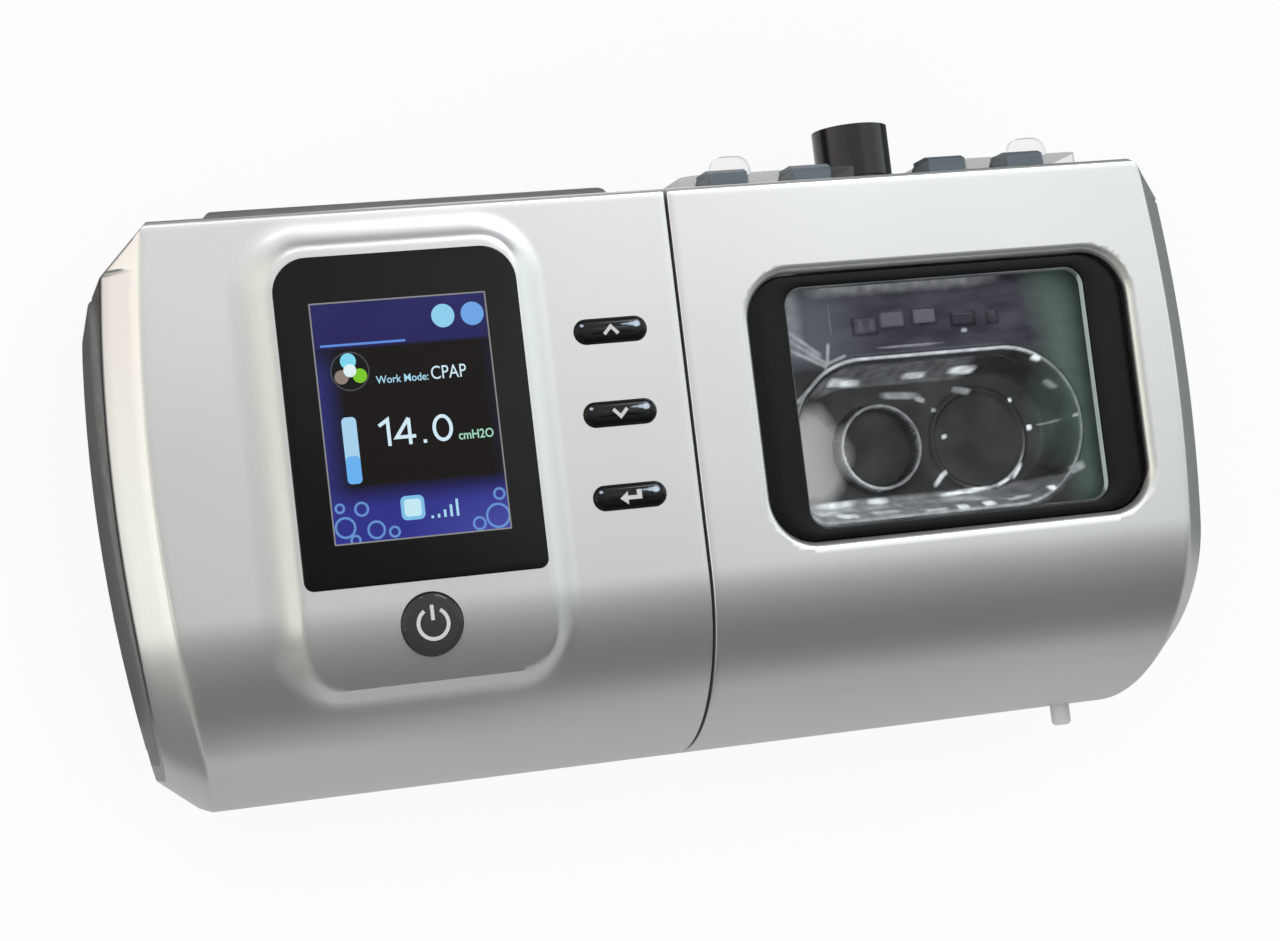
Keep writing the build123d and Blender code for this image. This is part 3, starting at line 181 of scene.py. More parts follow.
def rgba(colour):
    """A colour with its fourth figure, from its three, or from the one number of a grey."""
    return (colour,) * 3 + (1,) if isinstance(colour, float) else (*colour, 1)


def finish(name):
    """A new, empty material."""
    return Finish(bpy.data.materials.new(name))


def far(*offsets):
    """Length of the way whose parts are the given fields: the root of the sum of their squares."""
    total = offsets[0] * offsets[0]
    for offset in offsets[1:]:
        total = total + offset * offset
    return total ** 0.5


scene = bpy.context.scene
scene.view_settings.view_transform = "Standard"

lens = bpy.data.cameras.new("camera")
lens.lens, lens.sensor_width, lens.clip_start = 80.75, 36.0, 0.01
camera = bpy.data.objects.new("camera", lens)
camera_right = (0.9494, -0.1178, 0.2910)
camera_up = (0.0906, 0.9903, 0.1050)
camera_back = (-0.3006, -0.0733, 0.9509)
camera_place = (-0.2536, -0.0637, 0.8539)
camera.matrix_world = Matrix([*zip(camera_right, camera_up, camera_back, camera_place), (0, 0, 0, 1)])
scene.collection.objects.link(camera)
scene.camera = camera

sky = Finish(bpy.data.worlds.new("sky"))
scene.world = sky.owner
sky_light = 0.55
strength = sky.between(sky.seen(), 0.0, 1.0, sky_light, 1.0)
backdrop = sky.node("ShaderNodeBackground", None, {"Color": rgba(1.0), "Strength": strength})
sky.surface(backdrop, "ShaderNodeOutputWorld")

lamp_aim = (0, 0, 0.05)


def lamp(name, place, size, power):
    """A square soft lamp at place, turned towards the object."""
    light = bpy.data.lights.new(name, "AREA")
    light.shape, light.size, light.energy = "SQUARE", size, power
    made = bpy.data.objects.new(name, light)
    back = np.array(place) - np.array(lamp_aim)
    back /= np.linalg.norm(back)
    side = np.cross((0.0, 1.0, 0.0), back)
    side /= np.linalg.norm(side)
    axes = np.stack([side, np.cross(back, side), back, np.array(place)], axis=1)
    made.matrix_world = Matrix([*axes.tolist(), (0, 0, 0, 1)])
    scene.collection.objects.link(made)
    made.visible_glossy = False


lamp("overhead_lamp", (-0.25, 0.35, 1.9), 1.6, 16.0)
lamp("left_lamp", (-1.5, -0.2, 0.9), 0.9, 5.0)
lamp("front_lamp", (0.3, -1.6, 0.8), 0.9, 4.0)


def mesh_object(name, points, faces, material=None):
    """An object at the origin from an array of points in millimetres and a list of faces."""
    mesh = bpy.data.meshes.new(name)
    mesh.from_pydata(np.asarray(points, float) * MM, [], faces)
    mesh.update()
    mesh.shade_smooth()
    if material is not None:
        mesh.materials.append(material)
    made = bpy.data.objects.new(name, mesh)
    scene.collection.objects.link(made)
    return made


def numbers(shape, start=0):
    """Numbers of the points of a grid, row by row, from start on."""
    return start + np.arange(shape[0] * shape[1]).reshape(shape[:2])


def quads(index, closed=False):
    """Faces between neighbours in a grid of point numbers, whose rows may close on themselves."""
    if closed:
        index = np.column_stack([index, index[:, 0]])
    corners = [index[:-1, :-1], index[:-1, 1:], index[1:, 1:], index[1:, :-1]]
    return np.stack(corners, axis=-1).reshape(-1, 4).tolist()


square = ((-1, -1), (1, -1), (1, 1), (-1, 1))
sweep_reach = 4000.0
sweep = finish("white_sweep")
paper = sweep.node("ShaderNodeBsdfDiffuse", None, {"Color": rgba(0.86)})
glow = sweep.node("ShaderNodeEmission", None, {"Color": rgba(1.0), "Strength": 1.0})
sweep.surface(sweep.blend(sweep.seen() * 0.9, paper, glow))
floor = mesh_object("sweep", [(sweep_reach * a, sweep_reach * b, 0) for a, b in square], [(0, 1, 2, 3)],
                    sweep.owner)


def gloss_only(made):
    """Keeps a stage piece out of every ray but those of gloss."""
    made.visible_camera = made.visible_diffuse = made.visible_shadow = False
    made.visible_transmission = made.visible_volume_scatter = False


def card(name, corners, colour):
    """A flat card of one colour that only gloss can see."""
    paint = finish(name + "_paint")
    paint.surface(paint.node("ShaderNodeEmission", None, {"Color": rgba(colour), "Strength": 1.0}))
    gloss_only(mesh_object(name, corners, [(0, 1, 2, 3)], paint.owner))


# The vault is half a sphere. Its light falls off from the rear to the front, by the tilt in
# degrees from straight up towards the front, and changes from left to right, by the sine of the
# angle to the side. Away from a place right of the middle the dark part lies a little lower and is
# darker, and far from that place the front is an even grey.
vault_reach, fall_full, side_full = 3000.0, 1.5, 1.3
falloff = [(-28, 1.25), (-10.3, 1.28), (-5.4, 1.02), (-1.8, 0.77), (0, 0.69), (3, 0.55), (5.4, 0.45),
           (10.3, 0.34), (15.9, 0.25), (22.3, 0.175), (31.8, 0.12), (44, 0.095), (56.3, 0.11), (63.5, 0.19),
           (71.3, 0.38), (86, 0.52)]
sides = [(-1.0, (1.2, 1.2, 1.08)), (-0.75, (0.90, 0.90, 0.81)), (-0.52, (0.86, 0.87, 0.76)),
         (-0.3, (0.70, 0.70, 0.68)), (0.12, (0.73, 0.73, 0.73)), (0.28, (1.0, 1.0, 1.0)),
         (0.38, (1.15, 1.20, 1.20)), (0.5, (1.02, 1.10, 1.09)), (0.75, (0.90, 0.97, 0.95)),
         (1.0, (1.1, 1.2, 1.18))]
vault = finish("vault_paint")
vault_x, vault_y, vault_z = vault.place()
aside = vault_x / far(vault_x, vault_y, vault_z)
toward_end = vault.between(abs(aside - 0.29), 0.04, 0.17)
tilt = vault.maths("ARCTAN2", vault_y * -1, vault_z) * (180 / math.pi)
tilt = tilt * (1 - toward_end * 0.09)
vault_fall = vault.ramp(tilt, -60, 90, [(place, (light,) * 3) for place, light in falloff], fall_full)
even_front = vault.between(abs(aside - 0.33), 0.30, 0.50) * vault.between(tilt, 20, 30)
vault_fall = vault.mix(even_front, vault_fall, 0.42)
waist = toward_end * vault.between(abs(tilt - 50), 26, 6) * 0.45
vault_fall = vault.mix(waist, vault_fall, 0.0)
vault_colour = vault.node("ShaderNodeMix", {"data_type": "RGBA", "blend_type": "MULTIPLY"},
                          {0: 1.0, 6: vault_fall, 7: vault.ramp(aside, -1, 1, sides, side_full)}, 2)
vault_light = {"Color": vault_colour, "Strength": fall_full * side_full}
vault.surface(vault.node("ShaderNodeEmission", None, vault_light))
around, upward = np.meshgrid(np.radians(np.arange(0, 360, 10)), np.radians(np.arange(0, 90, 10)))
vault_points = [np.cos(upward) * np.cos(around), np.cos(upward) * np.sin(around), np.sin(upward)]
vault_index = numbers(around.shape)
gloss_only(mesh_object("vault", vault_reach * np.stack(vault_points, axis=-1).reshape(-1, 3),
                       quads(vault_index, True) + [vault_index[-1].tolist()], vault.owner))

# Cards that stand on the sweep: name, one end and the other in plan, height and colour.
for name, (x0, y0), (x1, y1), high, colour in (
        ("rear_card", (-1600, 1000), (1600, 1000), 620, 0.22),
        ("left_card", (-1500, -330), (-1500, 200), 760, (1.62, 1.65, 1.50)),
        ("corner_card", (-1500, 200), (-1500, 1200), 760, (1.60, 1.44, 1.32))):
    card(name, [(x0, y0, 0), (x1, y1, 0), (x1, y1, high), (x0, y0, high)], colour)

# Mats that lie just over it: name, near left corner, far right corner, height and colour.
for name, (x0, y0), (x1, y1), high, colour in (
        ("left_mat", (-900, -600), (-60, 600), 1.0, 0.05),
        ("far_left_mat", (-2500, -2500), (-900, -300), 0.5, 0.17),
        ("near_left_mat", (-900, -1200), (-195, -75), 2.0, 0.16),
        ("right_mat", (120, -2000), (1500, 700), 1.0, (0.15, 0.18, 0.17)),
        ("front_mat", (-195, -900), (700, -60), 1.5, 0.50)):
    card(name, [(x0, y0, high), (x1, y0, high), (x1, y1, high), (x0, y1, high)], colour)

# Small bright squares that face the object: name, direction, half side and colour.
light_distance = 1600
for name, way, radius, colour in (
        ("right_light", (0.42, 0.60, 0.68), 230, (7.5, 7.8, 8.5)),
        ("middle_light", (-0.03, 0.58, 0.81), 70, 9.0),
        ("left_light", (-0.59, -0.08, 0.80), 40, (16.0, 16.0, 14.4))):
    back = np.array(way) / np.linalg.norm(way)
    side = np.cross((0.0, 0.0, 1.0), back)
    side /= np.linalg.norm(side)
    over = np.cross(back, side)
    card(name, [back * light_distance + radius * (a * side + b * over) for a, b in square], colour)

# ---------------------------------------------------------------------------- upper shells
# The silver halves of the case: two injection-moulded trays, painted, that drop over the lower
# shells and carry the screen, the keys and the window. One formula gives both, one mirrored.

case_half_width, barrel_radius, barrel_y = 159.0, 480.0, 8.9
front_y, rear_y, face_z, base_z = -85.2, 72.0, 105.0, 3.0
front_radius, end_slope, rear_cut, skirt, shell_wall = 50.0, 10.0, 11.0, 14.5, 2.5
widest_z, end_lean = face_z - end_slope, math.tan(math.radians(4.8))
seam_x, seam_round, rear_round, slope_round = 0.4, 0.6, 2.0, 0.9
rise_rows, edge_rows = 19, 5
plateau_rise, plateau_soft = 3.0, 0.7
# The plateau's foot and crest: left, right, front, rear and corner radius.
plateau_foot = (-125.6, -37.6, -61.6, 69.9, 20.0)
plateau_crest = (-114.6, -45.4, -55.8, 61.5, 11.0)


def half_width(y, z, inset):
    """Seam to end wall: a circle in plan, whose radius grows with height as the wall leans."""
    radius = barrel_radius - inset - (widest_z - z) * end_lean
    return case_half_width - barrel_radius + np.sqrt(radius ** 2 - (y - barrel_y) ** 2)


def side_view(inset):
    """Rows up the front, round the quarter circle, along the top and over the rear edge, as y, z,
    the outward normal (ny, nz), the way down the skirt (dy, dz) and how far the skirt reaches."""
    turn = np.radians(np.concatenate([np.arange(2, 20, 2), np.arange(20, 38, 0.75), np.arange(38, 91, 2)]))
    edge = np.radians(np.linspace(90, 0, edge_rows + 1))[1:]
    radius = front_radius - inset
    arc_y, arc_z = front_y + front_radius, face_z - front_radius
    small = max(rear_round - inset, 0.3)
    last_y, last_z = rear_y - inset - small, face_z - inset - small
    rise = np.linspace(base_z + inset, arc_z, rise_rows)
    steps = np.concatenate([np.arange(1.3, 91, 1.3), np.arange(91, 104.7, 0.6), [105.2]]) / 105.2
    flat = arc_y + (last_y - arc_y) * steps
    y = np.concatenate([np.full(rise_rows, front_y + inset), arc_y - radius * np.cos(turn), flat,
                        last_y + small * np.cos(edge)])
    z = np.concatenate([rise, arc_z + radius * np.sin(turn), np.full(len(flat), face_z - inset),
                        last_z + small * np.sin(edge)])
    ny = np.concatenate([np.full(rise_rows, -1.0), -np.cos(turn), np.zeros(len(flat)), np.cos(edge)])
    nz = np.concatenate([np.zeros(rise_rows), np.sin(turn), np.ones(len(flat)), np.sin(edge)])
    dy = np.concatenate([-ny[:-edge_rows], np.zeros(edge_rows)])
    dz = np.concatenate([-nz[:-edge_rows], -np.ones(edge_rows)])
    reach = np.full(len(y), skirt - inset)
    reach[-edge_rows:] = z[-edge_rows:] - (face_z - skirt)
    return y, z, ny, nz, dy, dz, reach


def depth_inside(x, y, left, right, front, rear, corner):
    """How far a point lies inside a rectangle with round corners: negative outside it."""
    qx = np.abs(x - (left + right) / 2) - (right - left) / 2 + corner
    qy = np.abs(y - (front + rear) / 2) - (rear - front) / 2 + corner
    return corner - np.hypot(np.maximum(qx, 0), np.maximum(qy, 0)) - np.minimum(np.maximum(qx, qy), 0)


def bump_height(x, y):
    """Rise of the plateau: the square of the share of the way from its foot to its crest, then
    level, with the crest rounded off over a soft width."""
    foot, crest = depth_inside(x, y, *plateau_foot), depth_inside(x, y, *plateau_crest)
    share = np.clip(foot, 0, None) / np.maximum(foot - crest, 0.5)
    swell = plateau_rise * np.minimum(share, 2.0) ** 2
    near_crest = np.clip(plateau_soft - np.abs(swell - plateau_rise), 0, None)
    return np.minimum(swell, plateau_rise) - near_crest ** 2 / (4 * plateau_soft)


def bend(t, start, corner, end):
    """Arc from start to end by way of corner: shares (1 - t) squared, 2 t (1 - t) and t squared."""
    return (1 - t) ** 2 * start + 2 * t * (1 - t) * corner + t ** 2 * end


def straight(t, start, end):
    """Straight run from start to end."""
    return start * (1 - t) + end * t


def down_the_end(start, corner, past, before, low, after, foot):
    """One coordinate along a tray's end: round the top's edge, down the slope, round its lower
    edge and down the end wall."""
    arc, run = np.linspace(0, 1, 4)[:, None], np.linspace(0, 1, 5)[1:, None]
    return np.concatenate([bend(arc, start, corner, past), straight(run[:-1], past, before),
                           bend(arc, before, low, after), straight(run, after, foot)])


def tray_sheet(inset, side, raised):
    """Outer or inner skin of one tray: for every row of the side view, the seam wall, the top, the
    sloping edge and the end wall. Returns the grid, then the caps under the front and at the rear."""
    y, z, ny, nz, dy, dz, reach = side_view(inset)
    slope = end_slope - inset * (2 - math.sqrt(2))
    cut_corner = rear_cut - inset * (2 - math.sqrt(2))
    corner_sum = half_width(rear_y - inset, widest_z, inset) - cut_corner + rear_y - inset
    edge_x = np.minimum(half_width(y, z, inset) - slope, corner_sum - y - 0.2)
    y_low, z_low = y + dy * slope, z + dz * slope
    low_x = np.minimum(half_width(y_low, z_low, inset), corner_sum - y_low)
    low_down = low_x - edge_x
    low_down = np.where(np.abs(low_down - slope) < 1.5, slope, np.minimum(low_down, slope))
    y_end, z_end = y + dy * reach, z + dz * reach
    end_x = np.minimum(half_width(y_end, z_end, inset), corner_sum - y_end)
    blend = np.minimum(slope_round, 0.4 * low_down)
    tilted = blend * math.sqrt(0.5)
    end_out = down_the_end(edge_x - blend, edge_x, edge_x + tilted, low_x - tilted, low_x, low_x, end_x)
    end_down = down_the_end(0, 0, tilted, low_down - tilted, low_down, low_down + blend, reach)
    count = len(end_out)
    inner_seam = seam_x + inset
    round_off, lower = np.linspace(0, 1, 4)[:, None], np.linspace(0, 1, count - 3)[1:, None]
    seam_out = np.concatenate([inner_seam + seam_round * (1 - round_off) ** 2 + 0 * y,
                               np.full((count - 4, len(y)), inner_seam)])
    seam_down = np.concatenate([seam_round * round_off ** 2 + 0 * y, straight(lower, seam_round, reach)])
    # Columns across the top, as shares of its width: closest over the plateau's two flanks.
    share = np.concatenate([np.arange(1.6, 34, 1.6), np.arange(34, 49, 0.6), np.arange(49, 110, 1.6),
                            np.arange(110, 128, 0.6), np.arange(128, 147.5, 1.6)])[:, None] / 148.6
    top_out = seam_out[0] * (1 - share) + end_out[0] * share
    out = np.concatenate([seam_out[::-1], top_out, end_out]).T
    down = np.concatenate([seam_down[::-1], 0 * top_out, end_down]).T
    y, z, ny, nz, dy, dz = (row[:, None] for row in (y, z, ny, nz, dy, dz))
    xx, yy, zz = side * out, y + dy * down, z + dz * down
    if raised:
        rise = np.where(down > 0, 0, bump_height(xx, yy))
        yy, zz = yy + ny * rise, zz + nz * rise
    grid = np.stack([xx, yy, zz], axis=-1)
    caps = []
    for line in (grid[0], grid[-1]):
        left, right = line[:count][::-1], line[-count:]
        along = (line[count - 1:len(line) - count + 1, 0] - left[0, 0]) / (right[0, 0] - left[0, 0])
        caps.append(straight(along[None, :, None], left[:, None], right[:, None]))
    return grid, caps


def clean(made, merge=0.002, sharp=30.0):
    """Merges doubles, turns the faces outwards and marks the edges past the sharp angle."""
    work = bmesh.new()
    work.from_mesh(made.data)
    bmesh.ops.remove_doubles(work, verts=work.verts, dist=merge * MM)
    bmesh.ops.dissolve_degenerate(work, edges=work.edges, dist=merge * MM)
    bmesh.ops.recalc_face_normals(work, faces=work.faces)
    work.to_mesh(made.data)
    work.free()
    made.data.shade_smooth()
    made.data.set_sharp_from_angle(angle=math.radians(sharp))
    return made


def tray(name, side, raised):
    """One upper shell: outer skin, inner skin and the rim that joins them, before its holes."""
    points, faces, lines = [], [], []
    for inset in (0.0, shell_wall):
        grid, caps = tray_sheet(inset, side, raised and inset == 0)
        for patch in (grid, *caps):
            index = numbers(patch.shape, sum(len(p) for p in points))
            faces += quads(index)
            lines += [index[:, 0], index[:, -1]] if patch is grid else [index[-1]]
            points.append(patch.reshape(-1, 3))
    half = len(lines) // 2
    for outer, inner in zip(lines[:half], lines[half:]):
        faces += quads(np.stack([outer, inner]))
    return clean(mesh_object(name, np.concatenate(points), faces))


def rounded(width, length, radius, x, y, count=12, front_corner=None):
    """Outline of a rectangle with round corners, as points round each corner's quarter circle."""
    radii = [radius, radius, front_corner or radius, front_corner or radius]
    turn = np.radians(np.linspace(0, 90, count))
    points = []
    for number, (sx, sy, r) in enumerate(zip((1, -1, -1, 1), (1, 1, -1, -1), radii)):
        angle = turn + math.radians(90 * number)
        middle = (x + sx * (width / 2 - r), y + sy * (length / 2 - r))
        points.append(np.stack([middle[0] + r * np.cos(angle), middle[1] + r * np.sin(angle)], axis=-1))
    return np.concatenate(points)


def disc(x, y, radius, count=40):
    """Outline of a circle."""
    turn = np.linspace(0, 2 * np.pi, count + 1)[:-1]
    return np.column_stack([x + radius * np.cos(turn), y + radius * np.sin(turn)])


def at_height(outline, z):
    """An outline in plan lifted to height z."""
    return np.column_stack([outline, np.full(len(outline), z)])


def stacked(name, loops, material=None, sharp=30.0):
    """A closed solid from a stack of outlines, each given as an array of 3-D points."""
    index = numbers((len(loops), len(loops[0])))
    faces = quads(index, True) + [index[0, ::-1].tolist(), index[-1].tolist()]
    return clean(mesh_object(name, np.concatenate(loops), faces, material), 0.0001, sharp)


def prism(name, outline, low, high, material=None):
    """A solid that stands straight up on an outline in plan."""
    return stacked(name, [at_height(outline, z) for z in (low, high)], material)


def cut(target, cutters):
    """Takes the cutters out of the target, and deletes them."""
    for cutter in cutters:
        tool = target.modifiers.new("cut", "BOOLEAN")
        tool.operation, tool.solver, tool.object = "DIFFERENCE", "EXACT", cutter
    made = bpy.data.meshes.new_from_object(target.evaluated_get(bpy.context.evaluated_depsgraph_get()))
    target.modifiers.clear()
    target.data = made
    for cutter in cutters:
        bpy.data.objects.remove(cutter)
    clean(target, 0.0005)


def fit(made, body, node=None):
    """Puts a piece on its body, in the place of the CAD node it stands for, which it hides."""
    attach(made, body)
    if node is not None:
        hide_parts(node)


silver = finish("silver_paint")
flakes, peel, wash = silver.noise(0.35, 2.0), silver.noise(4.0, 2.0), silver.noise(60.0, 1.0)
silver_colour = silver.mix(silver.between(flakes * 0.5 + wash * 0.5, 0.3, 0.7),
                           (0.655, 0.655, 0.65), (0.72, 0.72, 0.715))
# Painted shade: below the sloping edge, the end walls are darkened to the grey of the lower shells.
normal = silver.node("ShaderNodeNewGeometry", output="Normal")
end_wall_shade = silver.between(abs(silver.node("ShaderNodeSeparateXYZ", None, {0: normal})), 0.86, 0.92)
end_wall_shade = end_wall_shade * silver.between(abs(silver.place()[0]), 100.0, 120.0)
silver.surface(silver.principled({
    "Base Color": silver.mix(end_wall_shade, silver_colour, (0.17, 0.17, 0.165)), "Metallic": 0.88,
    "Coat Weight": 0.12, "Coat Roughness": 0.12, "Roughness": silver.between(flakes, 0.2, 0.8, 0.27, 0.36),
    "Normal": silver.bump(peel, 0.004, 0.5)}))

panel_x, panel_y, panel_width, panel_length, panel_low = -79.9, 14.4, 66.9, 88.6, 106.7
panel_rear_corner, panel_front_corner = 9.7, 2.7
screen_x, screen_y = -79.9, 13.9
power_x, power_y, power_radius = -80.2, -41.6, 8.5
pill_x, pill_y, pill_length, pill_width, key_gap = -20.6, (33.3, 10.3, -12.7), 20.9, 6.8, 0.15
window_x, window_y, frame_length, frame_width, frame_corner = 79.0, 7.5, 116.5, 75.6, 13.0
frame_top, lip_width = 101.6, 2.3
module_width, module_length = 53.6, 69.8
mouth_x, mouth_y, mouth_width, mouth_length, mouth_low, mouth_high = 70.0, 82.0, 117.2, 40.0, 10.0, 94.9
pin_x, pin_z, pin_hole = 124.0, 52.0, 2.95


def panel_outline(grow, corner_grow):
    """Outline of the display panel, grown, with its corners' radii grown by a length of their own."""
    return rounded(panel_width + 2 * grow, panel_length + 2 * grow, panel_rear_corner + corner_grow,
                   panel_x, panel_y, 12, panel_front_corner + corner_grow)


def pill(y, grow):
    """Outline of a pill-shaped key at y: two half circles."""
    return rounded(pill_length + 2 * grow, pill_width + 2 * grow, pill_width / 2 + grow - 1e-3, pill_x, y)


def frame_loop(grow, z):
    """Outline of the window frame's outside, grown, at a height."""
    return at_height(rounded(frame_length + 2 * grow, frame_width + 2 * grow, frame_corner + grow,
                             window_x, window_y, 16), z)


main_shell = tray("blower_upper_shell", -1, True)
cut(main_shell, [prism("panel_hole", panel_outline(0.1, 0.0), panel_low, 115.0),
                 prism("screen_hole", rounded(module_width, module_length, 1.0, screen_x, screen_y, 4),
                       95.0, 112.0),
                 prism("power_hole", disc(power_x, power_y, power_radius + key_gap, 64), 85.0, 125.0),
                 *[prism("key_hole", pill(y, key_gap), 95.0, 115.0) for y in pill_y]])

humidifier_shell = tray("humidifier_cover_shell", 1, False)
# The window's recess: a straight hole whose lip curls further outwards as it nears the top.
lip = np.linspace(0, 1, 9)
lip_grow = 0.1 + lip_width * (1 - np.sqrt(1 - lip ** 2)) ** 0.8
levels = [(88.0, 0.1), *zip(frame_top + (face_z - frame_top) * lip, lip_grow),
          (face_z + 0.4, lip_grow[-1] + 1.4), (face_z + 6.0, lip_grow[-1] + 1.5)]
pin_loop = disc(pin_x, pin_z, pin_hole, 64)
cut(humidifier_shell, [stacked("window_hole", [frame_loop(grow, z) for z, grow in levels]),
                       prism("tank_mouth", rounded(mouth_width, mouth_length, 0.5, mouth_x, mouth_y, 2),
                             mouth_low, mouth_high),
                       stacked("pin_hole", [np.insert(pin_loop, 1, y, axis=1) for y in (-100.0, -75.0)])])
for shell, body, node in ((main_shell, "main", "main_upper_shell"),
                          (humidifier_shell, "humidifier", "humidifier_upper_shell")):
    shell.data.materials.append(silver.owner)
    fit(shell, body, node)

# ---------------------------------------------------------------------------- lower shells and small parts
# Everything that keeps its CAD solid: the lower shells and covers in darker paint, and all that is
# screwed, clipped or glued inside. Each kind of stuff has its own grain, gloss and colour drift.


def moulded(name, low, high, roughness, grain, depth, metallic=0.0, stretch=(1, 1, 1), mirror=0.5):
    """A stuff whose colour drifts from low to high, and whose grain, in millimetres, has a depth."""
    stuff = finish(name)
    fine, drift = stuff.noise(grain, 3.0, stretch), stuff.noise(35.0, 2.0)
    colour = stuff.mix(stuff.between(fine * 0.5 + drift * 0.5, 0.35, 0.65), low, high)
    return stuff.surface(stuff.principled({
        "Base Color": colour, "Metallic": metallic, "Specular IOR Level": mirror,
        "Roughness": stuff.between(fine, 0.3, 0.7, roughness - 0.05, roughness + 0.05),
        "Normal": stuff.bump(fine, depth)}))


even = (1, 1, 1)
finishes = {"silver_paint": silver.owner}
# Name, low and high colour, roughness, grain, its depth, and for some metallic, stretch and mirror.
for name, *look in (
        ("dark_silver_paint", (0.15, 0.15, 0.143), (0.18, 0.18, 0.172), 0.5, 0.5, 0.003, 0.2, even, 0.15),
        ("gloss_black", (0.006, 0.006, 0.007), (0.010, 0.010, 0.011), 0.08, 6.0, 0.001),
        ("black_plastic", (0.012, 0.012, 0.014), (0.018, 0.018, 0.020), 0.30, 0.4, 0.004),
        ("slate_plastic", (0.085, 0.11, 0.135), (0.11, 0.14, 0.165), 0.38, 0.35, 0.006),
        ("steel", (0.52, 0.52, 0.53), 0.62, 0.28, 0.3, 0.003, 1.0, (12, 1, 1)),
        ("aluminium", (0.66, 0.67, 0.68), (0.74, 0.74, 0.75), 0.33, 0.4, 0.004, 1.0, (1, 14, 1)),
        ("silicone", (0.55, 0.55, 0.53), (0.64, 0.64, 0.62), 0.5, 1.5, 0.01),
        ("rubber", 0.018, (0.035, 0.035, 0.034), 0.82, 0.6, 0.02),
        ("board_green", (0.010, 0.11, 0.045), (0.020, 0.17, 0.075), 0.33, 1.2, 0.02, 0.0, (1, 5, 1)),
        ("component_black", (0.016, 0.016, 0.017), (0.035, 0.035, 0.036), 0.55, 0.25, 0.01),
        ("foam", (0.10, 0.10, 0.105), (0.34, 0.34, 0.35), 0.95, 0.9, 0.35)):
    finishes[name] = moulded(name, *look)

clear = finish("clear_plastic")
grazing = clear.node("ShaderNodeLayerWeight", None, {"Blend": 0.35}, "Facing")
see_through = clear.node("ShaderNodeBsdfTransparent", None, {"Color": (0.975, 0.98, 0.98, 1)})
clear_colour = clear.mix(clear.noise(18.0, 2.0), (0.30, 0.32, 0.33), (0.38, 0.40, 0.41))
clear_skin = clear.principled({"Base Color": clear_colour, "Roughness": 0.06, "IOR": 1.58})
finishes["clear_plastic"] = clear.surface(
    clear.blend(clear.between(grazing, 0.35, 0.95, 0.04, 0.85), see_through, clear_skin))

nodes = frame["nodes"]
for subpart in frame["record"]["subparts"]:
    for place in nodes[subpart["node"]].material_slots:
        place.material = finishes[subpart["material_slot"]]
nodes["air_outlet"].material_slots[0].material = moulded(
    "outlet_black", (0.005, 0.005, 0.007), (0.010, 0.010, 0.013), 0.2, 0.5, 0.004, 0.0, (1, 30, 1), 0.45)
nodes["eject_pin"].material_slots[0].material = moulded(
    "pin_grey", (0.50, 0.50, 0.49), (0.60, 0.60, 0.59), 0.35, 0.6, 0.01)

# ---------------------------------------------------------------------------- display panel
# A gloss black acrylic panel in the plateau, with the colour screen behind it. The screen's picture
# is a sheet of light with bands, bubbles and a frame, and its figures are thin pieces on top.


def srgb(code):
    """Linear colour from a six-figure sRGB code."""
    parts = [int(code[i:i + 2], 16) / 255 for i in (0, 2, 4)]
    return tuple(((p + 0.055) / 1.055) ** 2.4 if p > 0.04045 else p / 12.92 for p in parts)


def rounded_top(outline_at, low, high, edge, steps=6, drop=None):
    """Outlines of a prism whose top edge is a quarter of an ellipse, edge wide and drop high;
    outline_at gives the plan for a growth."""
    drop = edge if drop is None else drop
    turn = np.radians(np.linspace(0, 90, steps))
    return [at_height(outline_at(0.0), low), *[
        at_height(outline_at(-edge * (1 - math.cos(t))), high - drop * (1 - math.sin(t))) for t in turn]]


panel_top = 108.2
acrylic = finish("panel_gloss_black")
dust = acrylic.noise(9.0, 3.0)
acrylic.surface(acrylic.principled({
    "Base Color": acrylic.mix(dust, (0.0022, 0.0022, 0.0024), (0.0040, 0.0040, 0.0042)),
    "Roughness": acrylic.between(dust, 0.3, 0.7, 0.05, 0.10), "Specular IOR Level": 0.2}))
panel_loops = rounded_top(lambda g: panel_outline(g, g), panel_low, panel_top, 0.3)
fit(stacked("display_panel", panel_loops, acrylic.owner), "main", "display_lens")

screen_width, screen_length = 48.6, 64.8
screen_left, screen_rear = screen_x - screen_width / 2, screen_y + screen_length / 2


def glowing(name, code):
    """A finish that shines in the colour of a code and mirrors little."""
    light = finish(name)
    colour = srgb(code)
    light.surface(light.principled({
        "Base Color": (0.002, 0.002, 0.002, 1), "Roughness": 0.4, "Specular IOR Level": 0.1,
        "Emission Color": light.mix(light.noise(3.0, 1.0) * 0.25, colour, tuple(c * 0.8 for c in colour)),
        "Emission Strength": 1.0}))
    return light.owner


picture = finish("screen_picture")
place_x, place_y = picture.place()[:2]
across = (place_x - screen_left) / screen_width
down = (screen_rear - place_y) / screen_length
glare = picture.noise(14.0, 2.0)
shown = srgb("1f1e58")
for mask, code in (
        (picture.between(down, 0.185, 0.20), "0b0402"),
        (picture.between(across, 0.14, 0.0) * picture.between(down, 0.15, 0.30), "262a6e"),
        (picture.between(across, 0.93, 1.02) * 0.5, "1c1c3c"),
        (picture.between(down, 0.76, 0.86), "2a2c85"),
        (picture.between(down, 0.80, 1.0) * picture.between(across, 0.4, 1.0) * 0.6, "5458b0"),
        (picture.between(glare, 0.35, 0.8) * picture.between(down, 0.2, 0.0) * 0.15, "4a4aa0")):
    shown = picture.mix(mask, shown, srgb(code))
